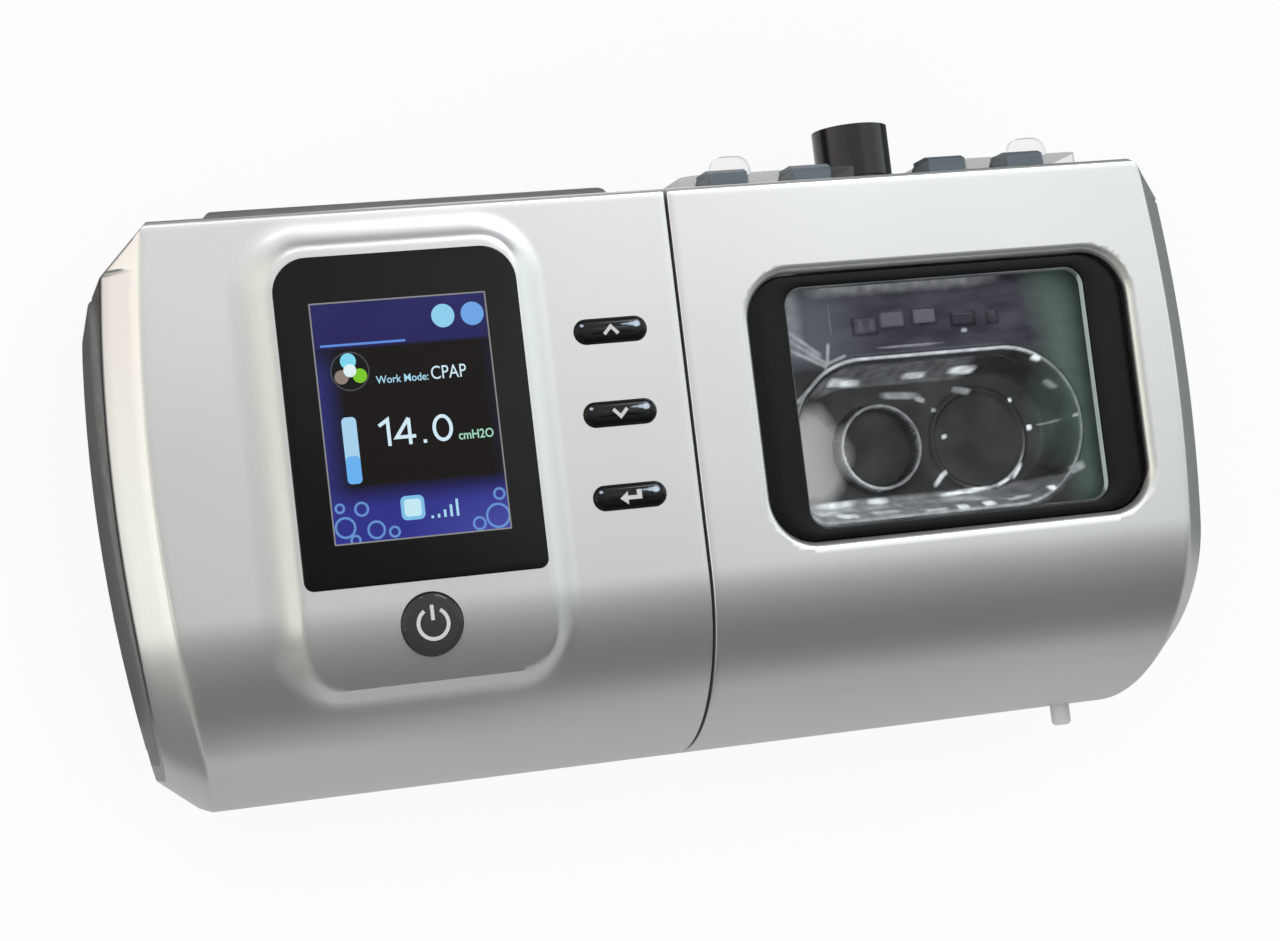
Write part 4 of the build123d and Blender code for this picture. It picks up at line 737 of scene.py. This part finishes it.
# Rings of bubbles: shares of the way across and down the screen, and radius in millimetres.
bubbles = [(0.07, 0.93, 2.6), (0.17, 0.86, 1.7), (0.24, 0.95, 2.2), (0.05, 0.85, 1.1), (0.34, 0.965, 1.3),
           (0.93, 0.94, 3.1), (0.82, 0.965, 1.6), (0.95, 0.85, 1.4), (0.12, 0.985, 1.2)]
for bubble_across, bubble_down, bubble_radius in bubbles:
    away = far((across - bubble_across) * screen_width, (down - bubble_down) * screen_length)
    shown = picture.mix(picture.between(abs(away - bubble_radius), 0.42, 0.18) * 0.8, shown, srgb("6ea0dc"))
from_edge = picture.maths("MINIMUM", screen_width / 2 - abs(place_x - screen_x),
                          screen_length / 2 - abs(place_y - screen_y))
shown = picture.mix(picture.between(from_edge, 0.45, 0.30), shown, srgb("8a8a8c"))
picture.surface(picture.principled({
    "Base Color": (0.002, 0.002, 0.002, 1), "Roughness": 0.3, "Specular IOR Level": 0.15,
    "Emission Color": shown, "Emission Strength": 1.0}))
fit(prism("screen_picture", rounded(screen_width, screen_length, 0.2, screen_x, screen_y, 2),
          panel_top - 0.05, panel_top + 0.02, picture.owner), "main")

# Heights of the faces of what is drawn on the screen, each a hair over the one below.
first, second, third, fourth = (panel_top + rise for rise in (0.03, 0.05, 0.07, 0.09))
letter_depth = 0.03


def screen_point(across, down):
    """Place of a point of the screen given as shares of its width and length."""
    return screen_left + across * screen_width, screen_rear - down * screen_length


def plate(name, outline, high, material):
    """A thin flat piece on the screen with the given outline."""
    fit(prism(name, outline, panel_top, high, material), "main")


def bar(left, low, right, high):
    """Outline of a plain rectangle."""
    return [(left, low), (right, low), (right, high), (left, high)]


def words(name, text, left, right, base, height, weight, material):
    """Lettering stretched to fill a box, as a thin solid: left, right and base are shares of the
    screen, and height is in millimetres."""
    (left, base), right = screen_point(left, base), screen_point(right, base)[0]
    curve = bpy.data.curves.new(name, "FONT")
    curve.body, curve.size, curve.extrude, curve.offset, curve.resolution_u = text, 1.0, 0.01, weight, 4
    writer = bpy.data.objects.new(name + "_writer", curve)
    scene.collection.objects.link(writer)
    mesh = bpy.data.meshes.new_from_object(writer.evaluated_get(bpy.context.evaluated_depsgraph_get()))
    bpy.data.objects.remove(writer)
    points = np.empty(len(mesh.vertices) * 3)
    mesh.vertices.foreach_get("co", points)
    points = points.reshape(-1, 3)
    low, high = points.min(axis=0), points.max(axis=0)
    points = (points - low) / (high - low) * (right - left, height, letter_depth)
    points += (left, base, first - letter_depth)
    mesh.vertices.foreach_set("co", (points * MM).ravel())
    mesh.update()
    mesh.materials.clear()
    mesh.materials.append(material)
    made = bpy.data.objects.new(name, mesh)
    scene.collection.objects.link(made)
    fit(clean(made, 0.0001), "main")


def stroke(points, width):
    """Outline of a line of given width along points, with mitred corners."""
    points = np.asarray(points, float)
    ways = np.diff(points, axis=0)
    ways /= np.linalg.norm(ways, axis=1)[:, None]
    first_way, last_way = np.vstack([ways[:1], ways]), np.vstack([ways, ways[-1:]])
    mean = first_way + last_way
    mean /= (mean * first_way).sum(axis=1)[:, None]
    side = np.column_stack([-mean[:, 1], mean[:, 0]]) * width / 2
    return np.concatenate([points + side, (points - side)[::-1]])


def ring(name, loops, material):
    """A closed band from a ring of outlines, the last joined back to the first."""
    index = numbers((len(loops), len(loops[0])))
    faces = quads(np.vstack([index, index[:1]]), True)
    return clean(mesh_object(name, np.concatenate(loops), faces, material), 0.0001)


rule_left, rule_y = screen_point(0.04, 0.18)
fan_x, fan_y = screen_point(0.19, 0.291)
gauge_x, gauge_low = screen_point(0.152, 0.755)
gauge_split, gauge_top = screen_point(0.152, 0.64)[1], screen_point(0.152, 0.479)[1]
icon_x, icon_y = screen_point(0.455, 0.8735)


def lobe(angle, reach, radius):
    """Outline of a circle set off from the fan's middle by reach, at an angle in degrees."""
    turn = math.radians(angle)
    return disc(fan_x + reach * math.cos(turn), fan_y + reach * math.sin(turn), radius)


def gauge_outline(top):
    """Outline of the gauge from its foot up to top."""
    return rounded(4.0, top - gauge_low, 1.2, gauge_x, (top + gauge_low) / 2, 6)


# The screen's signs: name, outline, height of the face and colour.
for name, outline, high, code in (
        ("screen_rule", bar(rule_left, rule_y - 0.3, rule_left + 23.2, rule_y + 0.3), first, "5f8fe0"),
        ("screen_disc_left", disc(*screen_point(0.745, 0.09), 3.2), first, "8fd0ee"),
        ("screen_disc_right", disc(*screen_point(0.913, 0.09), 3.2), first, "6ea6e6"),
        ("fan_rim", disc(fan_x, fan_y, 5.3), first, "4a4c50"),
        ("fan_face", disc(fan_x, fan_y, 4.95), second, "101214"),
        ("fan_lobe_top", lobe(95, 2.75, 2.15), third, "7fd6f0"),
        ("fan_lobe_right", lobe(-28, 2.9, 1.95), third, "7cc62c"),
        ("fan_lobe_left", lobe(210, 2.8, 1.9), third, "8f8078"),
        ("fan_hub", lobe(90, 0.2, 1.75), fourth, "dff3f4"),
        ("gauge", gauge_outline(gauge_top), first, "a8d2ee"),
        ("gauge_fill", gauge_outline(gauge_split), second, "6ab2f2"),
        ("screen_icon", rounded(6.5, 6.5, 1.5, icon_x, icon_y, 6), first, "7fc0e8"),
        ("screen_icon_face", rounded(4.6, 4.6, 0.9, icon_x, icon_y, 6), second, "c4eaf4")):
    plate(name, outline, high, glowing(name + "_glow", code))
pale_blue, white_blue = glowing("screen_pale_blue", "a9dcf2"), glowing("screen_white_blue", "d3ecf8")
for step, bar_height in enumerate((0.7, 1.0, 2.0, 3.2, 4.6)):
    bar_x, bar_y = screen_point(0.56 + 0.036 * step, 0.925)
    plate("signal_bar_" + str(step), bar(bar_x - 0.35, bar_y, bar_x + 0.35, bar_y + bar_height), first,
          pale_blue)
words("mode_label", "Work Mode:", 0.33, 0.625, 0.352, 2.1, 0.008, pale_blue)
words("mode_name", "CPAP", 0.642, 0.842, 0.352, 3.6, 0.0, white_blue)
words("pressure_unit", "cmH2O", 0.758, 0.957, 0.612, 2.5, 0.014, glowing("unit_green", "a4dcc0"))

# The reading's figures, as strokes in shares of a figure's width and height.
value_left, value_base = screen_point(0.300, 0.612)
value_width, value_height, value_weight = 6.716, 7.3, 0.95
for name, left, high, points in (
        ("value_one", -0.9, first, [(0.25, 0.76), (0.62, 0.97), (0.62, 0.0)]),
        ("value_four_bar", 4.95, first, [(0.60, 0.0), (0.60, 0.97)]),
        ("value_four_arm", 4.95, second, [(0.60, 0.97), (0.05, 0.29), (0.84, 0.29)]),
        ("value_point", 12.3, first, [(0.10, 0.0), (0.10, 0.13)])):
    shape = np.array(points) * (value_width, value_height) + (value_left + left, value_base)
    plate(name, stroke(shape, value_weight), high, white_blue)


def zero_loop(shrink, z):
    """Outline of the nought: an ellipse, drawn in by shrink."""
    oval = disc(0, 0, 1, 48) * (2.8 - shrink, value_height / 2 - shrink)
    return at_height(oval + (value_left + 18.1, value_base + value_height / 2), z)


fit(ring("value_zero", [zero_loop(0, panel_top), zero_loop(0, first), zero_loop(value_weight, first),
                        zero_loop(value_weight, panel_top)], white_blue), "main")

# ---------------------------------------------------------------------------- keys
# A round power key and three pill keys, moulded in black acrylic with soft shoulders and printed
# in light grey. Each slides straight down in its hole. Highlights on the pill keys are painted in as glow.

gloss = finish("key_gloss_black")
gloss_grain = gloss.noise(5.0, 2.0)
key_px, key_py = gloss.place()[:2]


def key_glint(across, along, half_wide, half_long, power):
    """Painted highlight: power within an ellipse set off from the middle of each pill key, with a soft rim,
    else 0.
    """
    nearest = 1e3
    for middle in pill_y:
        away_x = (key_px - (pill_x + across)) / half_wide
        away_y = (key_py - (middle + along)) / half_long
        nearest = gloss.maths("MINIMUM", nearest, away_x * away_x + away_y * away_y)
    return gloss.between(nearest, 1.3, 0.5, 0.0, power)


# Painted highlights on each pill key, a teardrop towards its right end and a dot at its left, drawn as glow
# below.
painted_pill_highlight = gloss.greatest(key_glint(7.3, 1.2, 1.15, 0.85, 1.0), key_glint(5.0, 1.35, 2.2, 0.3, 0.6),
                       key_glint(6.2, 1.3, 1.5, 0.55, 0.8), key_glint(-8.3, 1.7, 0.55, 0.42, 0.8))
on_power = gloss.between(far(key_px - power_x, key_py - power_y), power_radius + 0.5, power_radius - 0.5)
pill_black = gloss.mix(gloss_grain, 0.003, (0.005, 0.005, 0.006))
power_grey = gloss.mix(gloss_grain, (0.030, 0.030, 0.031), (0.036, 0.036, 0.037))
gloss.surface(gloss.principled({
    "Base Color": gloss.mix(on_power, pill_black, power_grey), "Specular IOR Level": 0.25,
    "Emission Color": gloss.mix(painted_pill_highlight, 0.0, (0.50, 0.60, 0.70)), "Emission Strength": 1.0,
    "Roughness": gloss.between(gloss_grain, 0.3, 0.7, 0.05, 0.08)}))
print_ink = finish("key_print")
print_colour = print_ink.mix(print_ink.noise(0.6, 3.0), 0.50, 0.60)
print_ink.surface(print_ink.principled({"Base Color": print_colour, "Roughness": 0.45}))
key_low, power_top, pill_top = 101.0, 108.9, 106.3


def key_cap(key, outline_at, high, edge, drop, crown):
    """A key: rounded shoulders, then a top that swells by crown towards the middle."""
    loops = rounded_top(outline_at, key_low, high - crown, edge, 12, drop)
    inner = loops[-1][:, :2]
    middle = inner.mean(axis=0)
    for share in (0.25, 0.5, 0.75, 0.93):
        loops.append(at_height(inner * (1 - share) + middle * share, high - crown * (1 - share) ** 2))
    fit(stacked(key + "_key_cap", loops, gloss.owner, 50.0), key + "_key", key + "_button")


def printed(name, outline, top, key):
    """A printed sign on a key, as a thin solid that stands a hair over it."""
    fit(prism(name, outline, top - 0.23, top + 0.02, print_ink.owner), key + "_key")


key_cap("power", lambda g: disc(power_x, power_y, power_radius + g, 72), power_top, 2.2, 1.1, 0.25)
arc = np.radians(np.linspace(122, 418, 60))
arc_line = 4.1 * np.column_stack([np.cos(arc), np.sin(arc)]) + (power_x, power_y)
printed("power_sign_ring", stroke(arc_line, 1.0), power_top, "power")
bar_line = [(power_x, power_y + 0.9), (power_x, power_y + 5.0)]
printed("power_sign_bar", stroke(bar_line, 1.0), power_top, "power")
chevron = np.array([(-2.0, -1.1), (0.0, 1.0), (2.0, -1.1)])
enter = np.array([(-3.2, -0.5), (-0.9, -2.3), (-0.9, -1.0), (3.1, -1.0), (3.1, 1.6), (1.7, 1.6), (1.7, 0.1),
                  (-0.9, 0.1), (-0.9, 1.3)])
signs = {"up": stroke(chevron + (-0.2, 0), 0.95), "down": stroke(chevron * (1, -1) + (-0.2, 0), 0.95),
         "enter": enter}
for (key, sign), middle in zip(signs.items(), pill_y):
    key_cap(key, lambda g, y=middle: pill(y, g), pill_top, 2.6, 1.25, 0.2)
    printed(key + "_sign", sign + (pill_x, middle), pill_top, key)

# ---------------------------------------------------------------------------- window
# A black frame glued into the humidifier's cover, with a clear pane whose moulded edge stands up
# against the frame as a pale bead, with a painted highlight along its right side.

opening_length, opening_width, opening_corner = 93.0, 68.5, 5.5


def opening_loop(grow, z):
    """Outline of the frame's opening, grown, at a height."""
    return at_height(rounded(opening_length + 2 * grow, opening_width + 2 * grow, opening_corner + grow,
                             window_x, window_y, 16), z)


pane = finish("pane_clear")
pane_facing = pane.node("ShaderNodeLayerWeight", None, {"Blend": 0.3}, "Facing")
pane_colour = pane.mix(pane.noise(20.0, 2.0), (0.05, 0.055, 0.055), (0.10, 0.105, 0.105))
pane_through = pane.node("ShaderNodeBsdfTransparent", None, {"Color": (0.97, 0.975, 0.975, 1)})
pane_skin = pane.principled({"Base Color": pane_colour, "Roughness": 0.05})
nodes["window_pane"].material_slots[0].material = pane.surface(
    pane.blend(pane.between(pane_facing, 0.3, 0.95, 0.015, 0.6), pane_through, pane_skin))

frame_low, rebate = 97.6, 2.0
window_black = moulded("window_black", (0.004, 0.004, 0.0045), (0.007, 0.007, 0.0075), 0.22, 0.8, 0.002, 0.0,
                       even, 0.15)
border = ring("window_surround", [
    frame_loop(0, frame_low), frame_loop(0, frame_top - 0.5), frame_loop(-0.15, frame_top - 0.15),
    frame_loop(-0.5, frame_top), opening_loop(0.6, frame_top), opening_loop(0.2, frame_top - 0.15),
    opening_loop(0, frame_top - 0.6), opening_loop(0, frame_low + rebate),
    opening_loop(rebate, frame_low + rebate), opening_loop(rebate, frame_low)], window_black)
fit(border, "humidifier", "window_frame")

bead = finish("pane_edge")
# Painted highlight: the bead's right side glows.
bead_painted_highlight = bead.between(bead.place()[0], 124.0, 124.7)
bead_drift = bead.between(bead.noise(22.0, 2.0), 0.35, 0.65)
bead.surface(bead.principled({
    "Emission Color": bead.mix(bead_painted_highlight, 0.0, (0.22, 0.27, 0.25)), "Emission Strength": 1.0,
    "Base Color": bead.mix(bead_drift, (0.07, 0.08, 0.08), (0.16, 0.17, 0.17)),
    "Roughness": 0.12, "Specular IOR Level": 0.3}))
bead_profile = ((-0.04, 99.6), (-0.04, 101.0), (-0.3, 101.0), (-0.6, 100.2), (-0.65, 99.6))
bead_loops = [opening_loop(grow, z) for grow, z in bead_profile]
fit(ring("pane_bead", bead_loops, bead.owner), "humidifier")

# ---------------------------------------------------------------------------- tank lid
# A smoky clear moulding that closes the tank: a height map with a rimmed, stadium-shaped pocket,
# the filler ring and a second, lower ring in it, and small boxes behind it. Highlights along its
# rim, rings and walls, and a pale reflection at the pocket's left end, are painted into its colour and glow.

lid_top, pocket_deep, lid_sheet = 94.0, 14.4, 1.6


def soft_step(value, width):
    """0 below zero, 1 above width, and a smooth step between."""
    t = np.clip(value / width, 0, 1)
    return t * t * (3 - 2 * t)


def ridge(distance, width, height):
    """A rounded ridge: height falling off with the square of the distance from its line."""
    return height * np.clip(1 - (distance / width) ** 2, 0, None) ** 1.5


def line_distance(x, y, start, end):
    """Distance from a straight line's run between two points."""
    way = np.subtract(end, start)
    along = np.clip(((x - start[0]) * way[0] + (y - start[1]) * way[1]) / (way @ way), 0, 1)
    return np.hypot(x - start[0] - along * way[0], y - start[1] - along * way[1])


# The height map's grid is fine under the window and coarse round it.
fine, coarse = 0.45, 3.0
lid_columns = np.concatenate([np.arange(12, 33, coarse), np.arange(33, 127.8, fine), [128.0]])
lid_rows = np.concatenate([np.arange(-60, -30, coarse), np.arange(-30, 44, fine),
                           np.arange(44.5, 71, coarse), [72.4]])
lid_x, lid_y = np.meshgrid(lid_columns, lid_rows)
pocket_x, pocket_y, pocket_length, pocket_width, near_left_corner = 77.8, -2.4, 88.0, 44.6, 8.0
pocket_corner = np.where((lid_x < pocket_x) & (lid_y < pocket_y), near_left_corner, pocket_width / 2)
inside = depth_inside(lid_x, lid_y, pocket_x - pocket_length / 2, pocket_x + pocket_length / 2,
                      pocket_y - pocket_width / 2, pocket_y + pocket_width / 2, pocket_corner)
height = lid_top - pocket_deep * soft_step(inside, 5.2) + ridge(inside + 0.7, 1.1, 0.9)
filler_x, filler_y, filler_radius, filler_top = 63.2, -4.3, 12.0, 85.0
filler = np.hypot(lid_x - filler_x, lid_y - filler_y)
filler_wall = soft_step(filler - filler_radius + 1.0, 0.5) - soft_step(filler - filler_radius - 0.6, 0.5)
height += (filler_top - height) * np.clip(filler_wall, 0, 1)
disc_x, disc_y, disc_radius = 95.6, -4.3, 14.6
low_ring = np.hypot(lid_x - disc_x, lid_y - disc_y)
height += ridge(low_ring - disc_radius, 1.2, 1.4) * (inside > 0)

# Boxes moulded behind the pocket: left, right, front, rear, tone of the face and of the edge.
boxes = [(54.7, 62.9, 27.2, 32.8, 0.1, -0.9), (63.2, 71.4, 28.7, 34.0, 0.6, 0.0),
         (73.3, 81.4, 29.0, 34.2, 0.75, -0.5), (85.6, 93.4, 27.7, 32.2, -0.3, -0.9),
         (96.8, 100.8, 27.6, 31.2, -0.2, -0.8), (56.6, 58.2, 28.6, 31.4, 0.5, 0.4),
         (59.6, 61.4, 28.6, 31.4, 0.5, 0.4)]
tone = np.zeros_like(lid_x)
for *box, face, edge in boxes:
    depth = depth_inside(lid_x, lid_y, *box, 0.0)
    height += 0.5 * soft_step(depth, 0.8)
    tone = np.where(depth > 0, face + (edge - face) * np.clip(1.6 - depth / 0.55, 0, 1), tone)

# Painted highlights, where edges would catch the light: middle, half length, half width, turn in degrees,
# strength.
painted_glints = [
    (77.1, 15.9, 4.8, 0.9, -3, 0.80), (92.0, 16.2, 5.4, 1.0, -3, 1.0), (54.4, 15.5, 7.3, 1.1, -3, 0.90),
    (73.0, 10.6, 7.6, 1.4, -5, 0.34), (92.3, 10.4, 3.4, 1.4, -12, 0.32), (79.0, 9.0, 2.2, 1.0, -20, 0.45),
    (107.6, 6.3, 0.8, 0.8, 0, 1.2), (112.8, -2.2, 1.0, 1.0, 0, 1.3), (117.3, -1.6, 2.6, 0.45, 3, 0.40),
    (85.3, -2.6, 1.1, 0.8, 20, 0.7), (82.9, 5.5, 0.8, 0.7, 0, 0.4), (110.9, 16.7, 1.7, 0.8, -25, 1.1),
    (116.4, 9.1, 2.4, 0.5, -48, 0.45), (121.3, -1.0, 0.6, 0.6, 0, 0.5), (82.3, -14.8, 3.4, 0.9, 48, 0.85),
    (107.0, -14.6, 3.2, 1.0, 52, 1.0), (89.5, -19.3, 9.6, 0.8, 3, 1.1), (102.0, -17.6, 3.2, 0.7, 22, 1.0),
    (49.0, -19.6, 8.0, 1.3, 1, 0.9), (62.0, -19.6, 4.2, 1.2, 0, 1.0), (44.0, -22.4, 5.0, 1.2, -4, 0.55),
    (47.0, -23.6, 4.5, 1.1, -5, 0.95), (59.0, -23.6, 7.0, 0.8, 0, 0.6), (74.0, -24.4, 5.0, 0.8, 0, 0.6),
    (82.4, -24.4, 2.4, 1.0, 0, 1.0), (90.8, -24.1, 2.6, 1.1, 3, 1.1), (101.0, -23.2, 5.0, 0.6, 6, 0.6),
    (110.8, -21.6, 1.2, 1.0, 0, 1.1), (119.5, -16.3, 3.4, 1.7, 20, 0.40), (72.1, 23.4, 12.5, 0.4, 0, 0.34),
    (89.5, 26.6, 1.2, 0.7, 0, 0.5), (42.0, 23.4, 3.6, 1.8, -38, 0.30), (48.2, 33.0, 0.4, 6.5, 0, 0.16)]
gleam = np.zeros_like(lid_x)
for glint_x, glint_y, half_long, half_wide, turn, power in painted_glints:
    cos, sin = math.cos(math.radians(turn)), math.sin(math.radians(turn))
    along = (lid_x - glint_x) * cos + (lid_y - glint_y) * sin
    over = (lid_y - glint_y) * cos - (lid_x - glint_x) * sin
    reach = ((along / half_long) ** 4 + (over / half_wide) ** 4) ** 0.25
    gleam = np.maximum(gleam, power * np.clip(2.2 - 2.2 * reach, 0, 1))
# Painted highlight lines, each between two points.
painted_glint_lines = [((34, 28.4), (46, 20.1)), ((34, 25.6), (45.4, 19.3)), ((35, 9.5), (45.3, 18.3)),
         ((46, 20.1), (51.5, 21.9)), ((46.9, 25.5), (46, 20)), ((34, 31.0), (44, 23.0))]
for start, end in painted_glint_lines:
    gleam = np.maximum(gleam, 0.38 * np.clip(1.5 - line_distance(lid_x, lid_y, start, end) / 0.5, 0, 1))


def lit_side(x, y, angle):
    """How far a ring about a point faces an angle in degrees: the cosine to the fourth power."""
    turn = np.arctan2(lid_y - y, lid_x - x)
    return np.clip(np.cos(turn - math.radians(angle)), 0, 1) ** 4


# Painted highlights along the pocket's rim and the two rings, brightest where each ring faces a given way.
high = (lid_y - pocket_y) / pocket_width * 2
rim_light = 0.28 + 0.36 * soft_step(high - 0.75, 0.25) + 0.25 * soft_step(-0.8 - high, 0.2)
for distance, wide, light in (
        (inside + 0.7, 0.55, rim_light),
        (filler - filler_radius, 0.55, 0.30 + 0.45 * lit_side(filler_x, filler_y, 228)),
        (low_ring - disc_radius, 0.5, 0.06 + 0.5 * lit_side(disc_x, disc_y, -60))):
    gleam = np.maximum(gleam, light * np.clip(1.6 - 1.3 * np.abs(distance) / wide, 0, 1))
# Broad painted light: along the pocket's front and rear walls, and under the window's rear and left
# edges.
front_wall = soft_step(5.5 - np.abs(inside - 2.0), 2.5) * soft_step(-0.62 - high, 0.12)
rear_wall = soft_step(3.4 - np.abs(inside - 3.4), 1.5) * soft_step(high - 0.55, 0.15)
rear_edge = np.exp(-((lid_y - 41.8) / 2.6) ** 2) * soft_step(lid_x - 38, 10) * soft_step(110 - lid_x, 20)
left_edge = np.exp(-((lid_x - 36.5) / 3.2) ** 2) * soft_step(lid_y - 20, 6)
soft_light = front_wall * (0.36 - 0.0026 * (lid_x - 40)) + rear_wall * 0.16 * soft_step(98 - lid_x, 8)
gleam = np.maximum(gleam, soft_light + rear_edge * 0.30 + left_edge * 0.22)
gleam *= 0.86 + 0.14 * np.sin(lid_x * 0.9 + lid_y * 0.5) * np.sin(lid_x * 0.37 - lid_y * 0.8)

top_skin = np.stack([lid_x, lid_y, height], axis=-1).reshape(-1, 3)
low_skin = np.stack([lid_x, lid_y, height - lid_sheet - 0.4 * (inside < -1)], axis=-1).reshape(-1, 3)
index = numbers(lid_x.shape)
border_line = np.concatenate([index[0, :-1], index[:-1, -1], index[-1, :0:-1], index[:0:-1, 0]])
lid_faces = quads(index) + quads((index + index.size)[::-1])
lid_faces += quads(np.stack([border_line, border_line + index.size]), True)

smoke = finish("smoky_lid")
lid_px, lid_py = smoke.place()[:2]
grain, streaks = smoke.noise(11.0, 3.0), smoke.noise(6.0, 2.5, (2.2, 0.8, 1))
painted_shine = smoke.node("ShaderNodeAttribute", {"attribute_name": "gleam"}, None, 2)
boxed = smoke.node("ShaderNodeAttribute", {"attribute_name": "tone"}, None, 2)
behind = smoke.mix(smoke.between(streaks, 0.35, 0.65), srgb("36343f"), srgb("4e4d58"))
behind = smoke.mix(smoke.between(lid_px, 60.0, 38.0), behind, srgb("656a74"))
green_edge = smoke.between(lid_px + lid_py * 0.12 + grain * 6.0 - 3.0, 111.5, 121.5)
# A painted reflection: a pale patch at the pocket's left end.
pale_reflection = smoke.between(far((lid_px - 42.5) / 12.5, (lid_py + 5.5) / 15.5) + grain * 0.5, 1.35, 0.95)
body = smoke.mix(smoke.between(grain, 0.35, 0.7), srgb("363637"), srgb("4c4b4b"))
for mask, colour in (
        (smoke.between(lid_py, 18.0, 22.0), behind),
        (green_edge, smoke.mix(streaks, srgb("4a5a51"), srgb("6b7d74"))),
        (pale_reflection, smoke.mix(smoke.between(lid_px, 38.0, 50.0), srgb("e2e3e0"), srgb("b6b7b6"))),
        (smoke.between(boxed, 0.0, 1.0) * 0.8, srgb("85838f")),
        (smoke.between(boxed, 0.0, -1.0) * 0.85, srgb("1a1a1d"))):
    body = smoke.mix(mask, body, colour)
# The painted highlights lighten the colour, glow and make the lid less clear where they lie.
uneven = smoke.between(smoke.noise(2.4, 2.0), 0.3, 0.7, 0.8, 1.15)
painted_shine = smoke.between(painted_shine * uneven, 0.05, 1.0)
lid_skin = smoke.principled({
    "Base Color": smoke.mix(painted_shine, body, srgb("c8cdd0")), "Roughness": 0.12, "Specular IOR Level": 0.12,
    "Emission Color": smoke.mix(painted_shine, 0.0, (0.56, 0.60, 0.63)), "Emission Strength": 1.0})
lid_through = smoke.node("ShaderNodeBsdfTransparent", None, {"Color": (0.55, 0.56, 0.57, 1)})
smoke.surface(smoke.blend(smoke.between(painted_shine, 0, 1, 0.96, 1.0), lid_through, lid_skin))
lid = mesh_object("tank_cover", np.concatenate([top_skin, low_skin]), lid_faces, smoke.owner)
for name, values in (("gleam", gleam), ("tone", tone)):
    held = lid.data.attributes.new(name, "FLOAT", "POINT")
    held.data.foreach_set("value", np.concatenate([values.ravel()] * 2))
lid.data.set_sharp_from_angle(angle=math.radians(60))
fit(lid, "tank", "tank_lid")
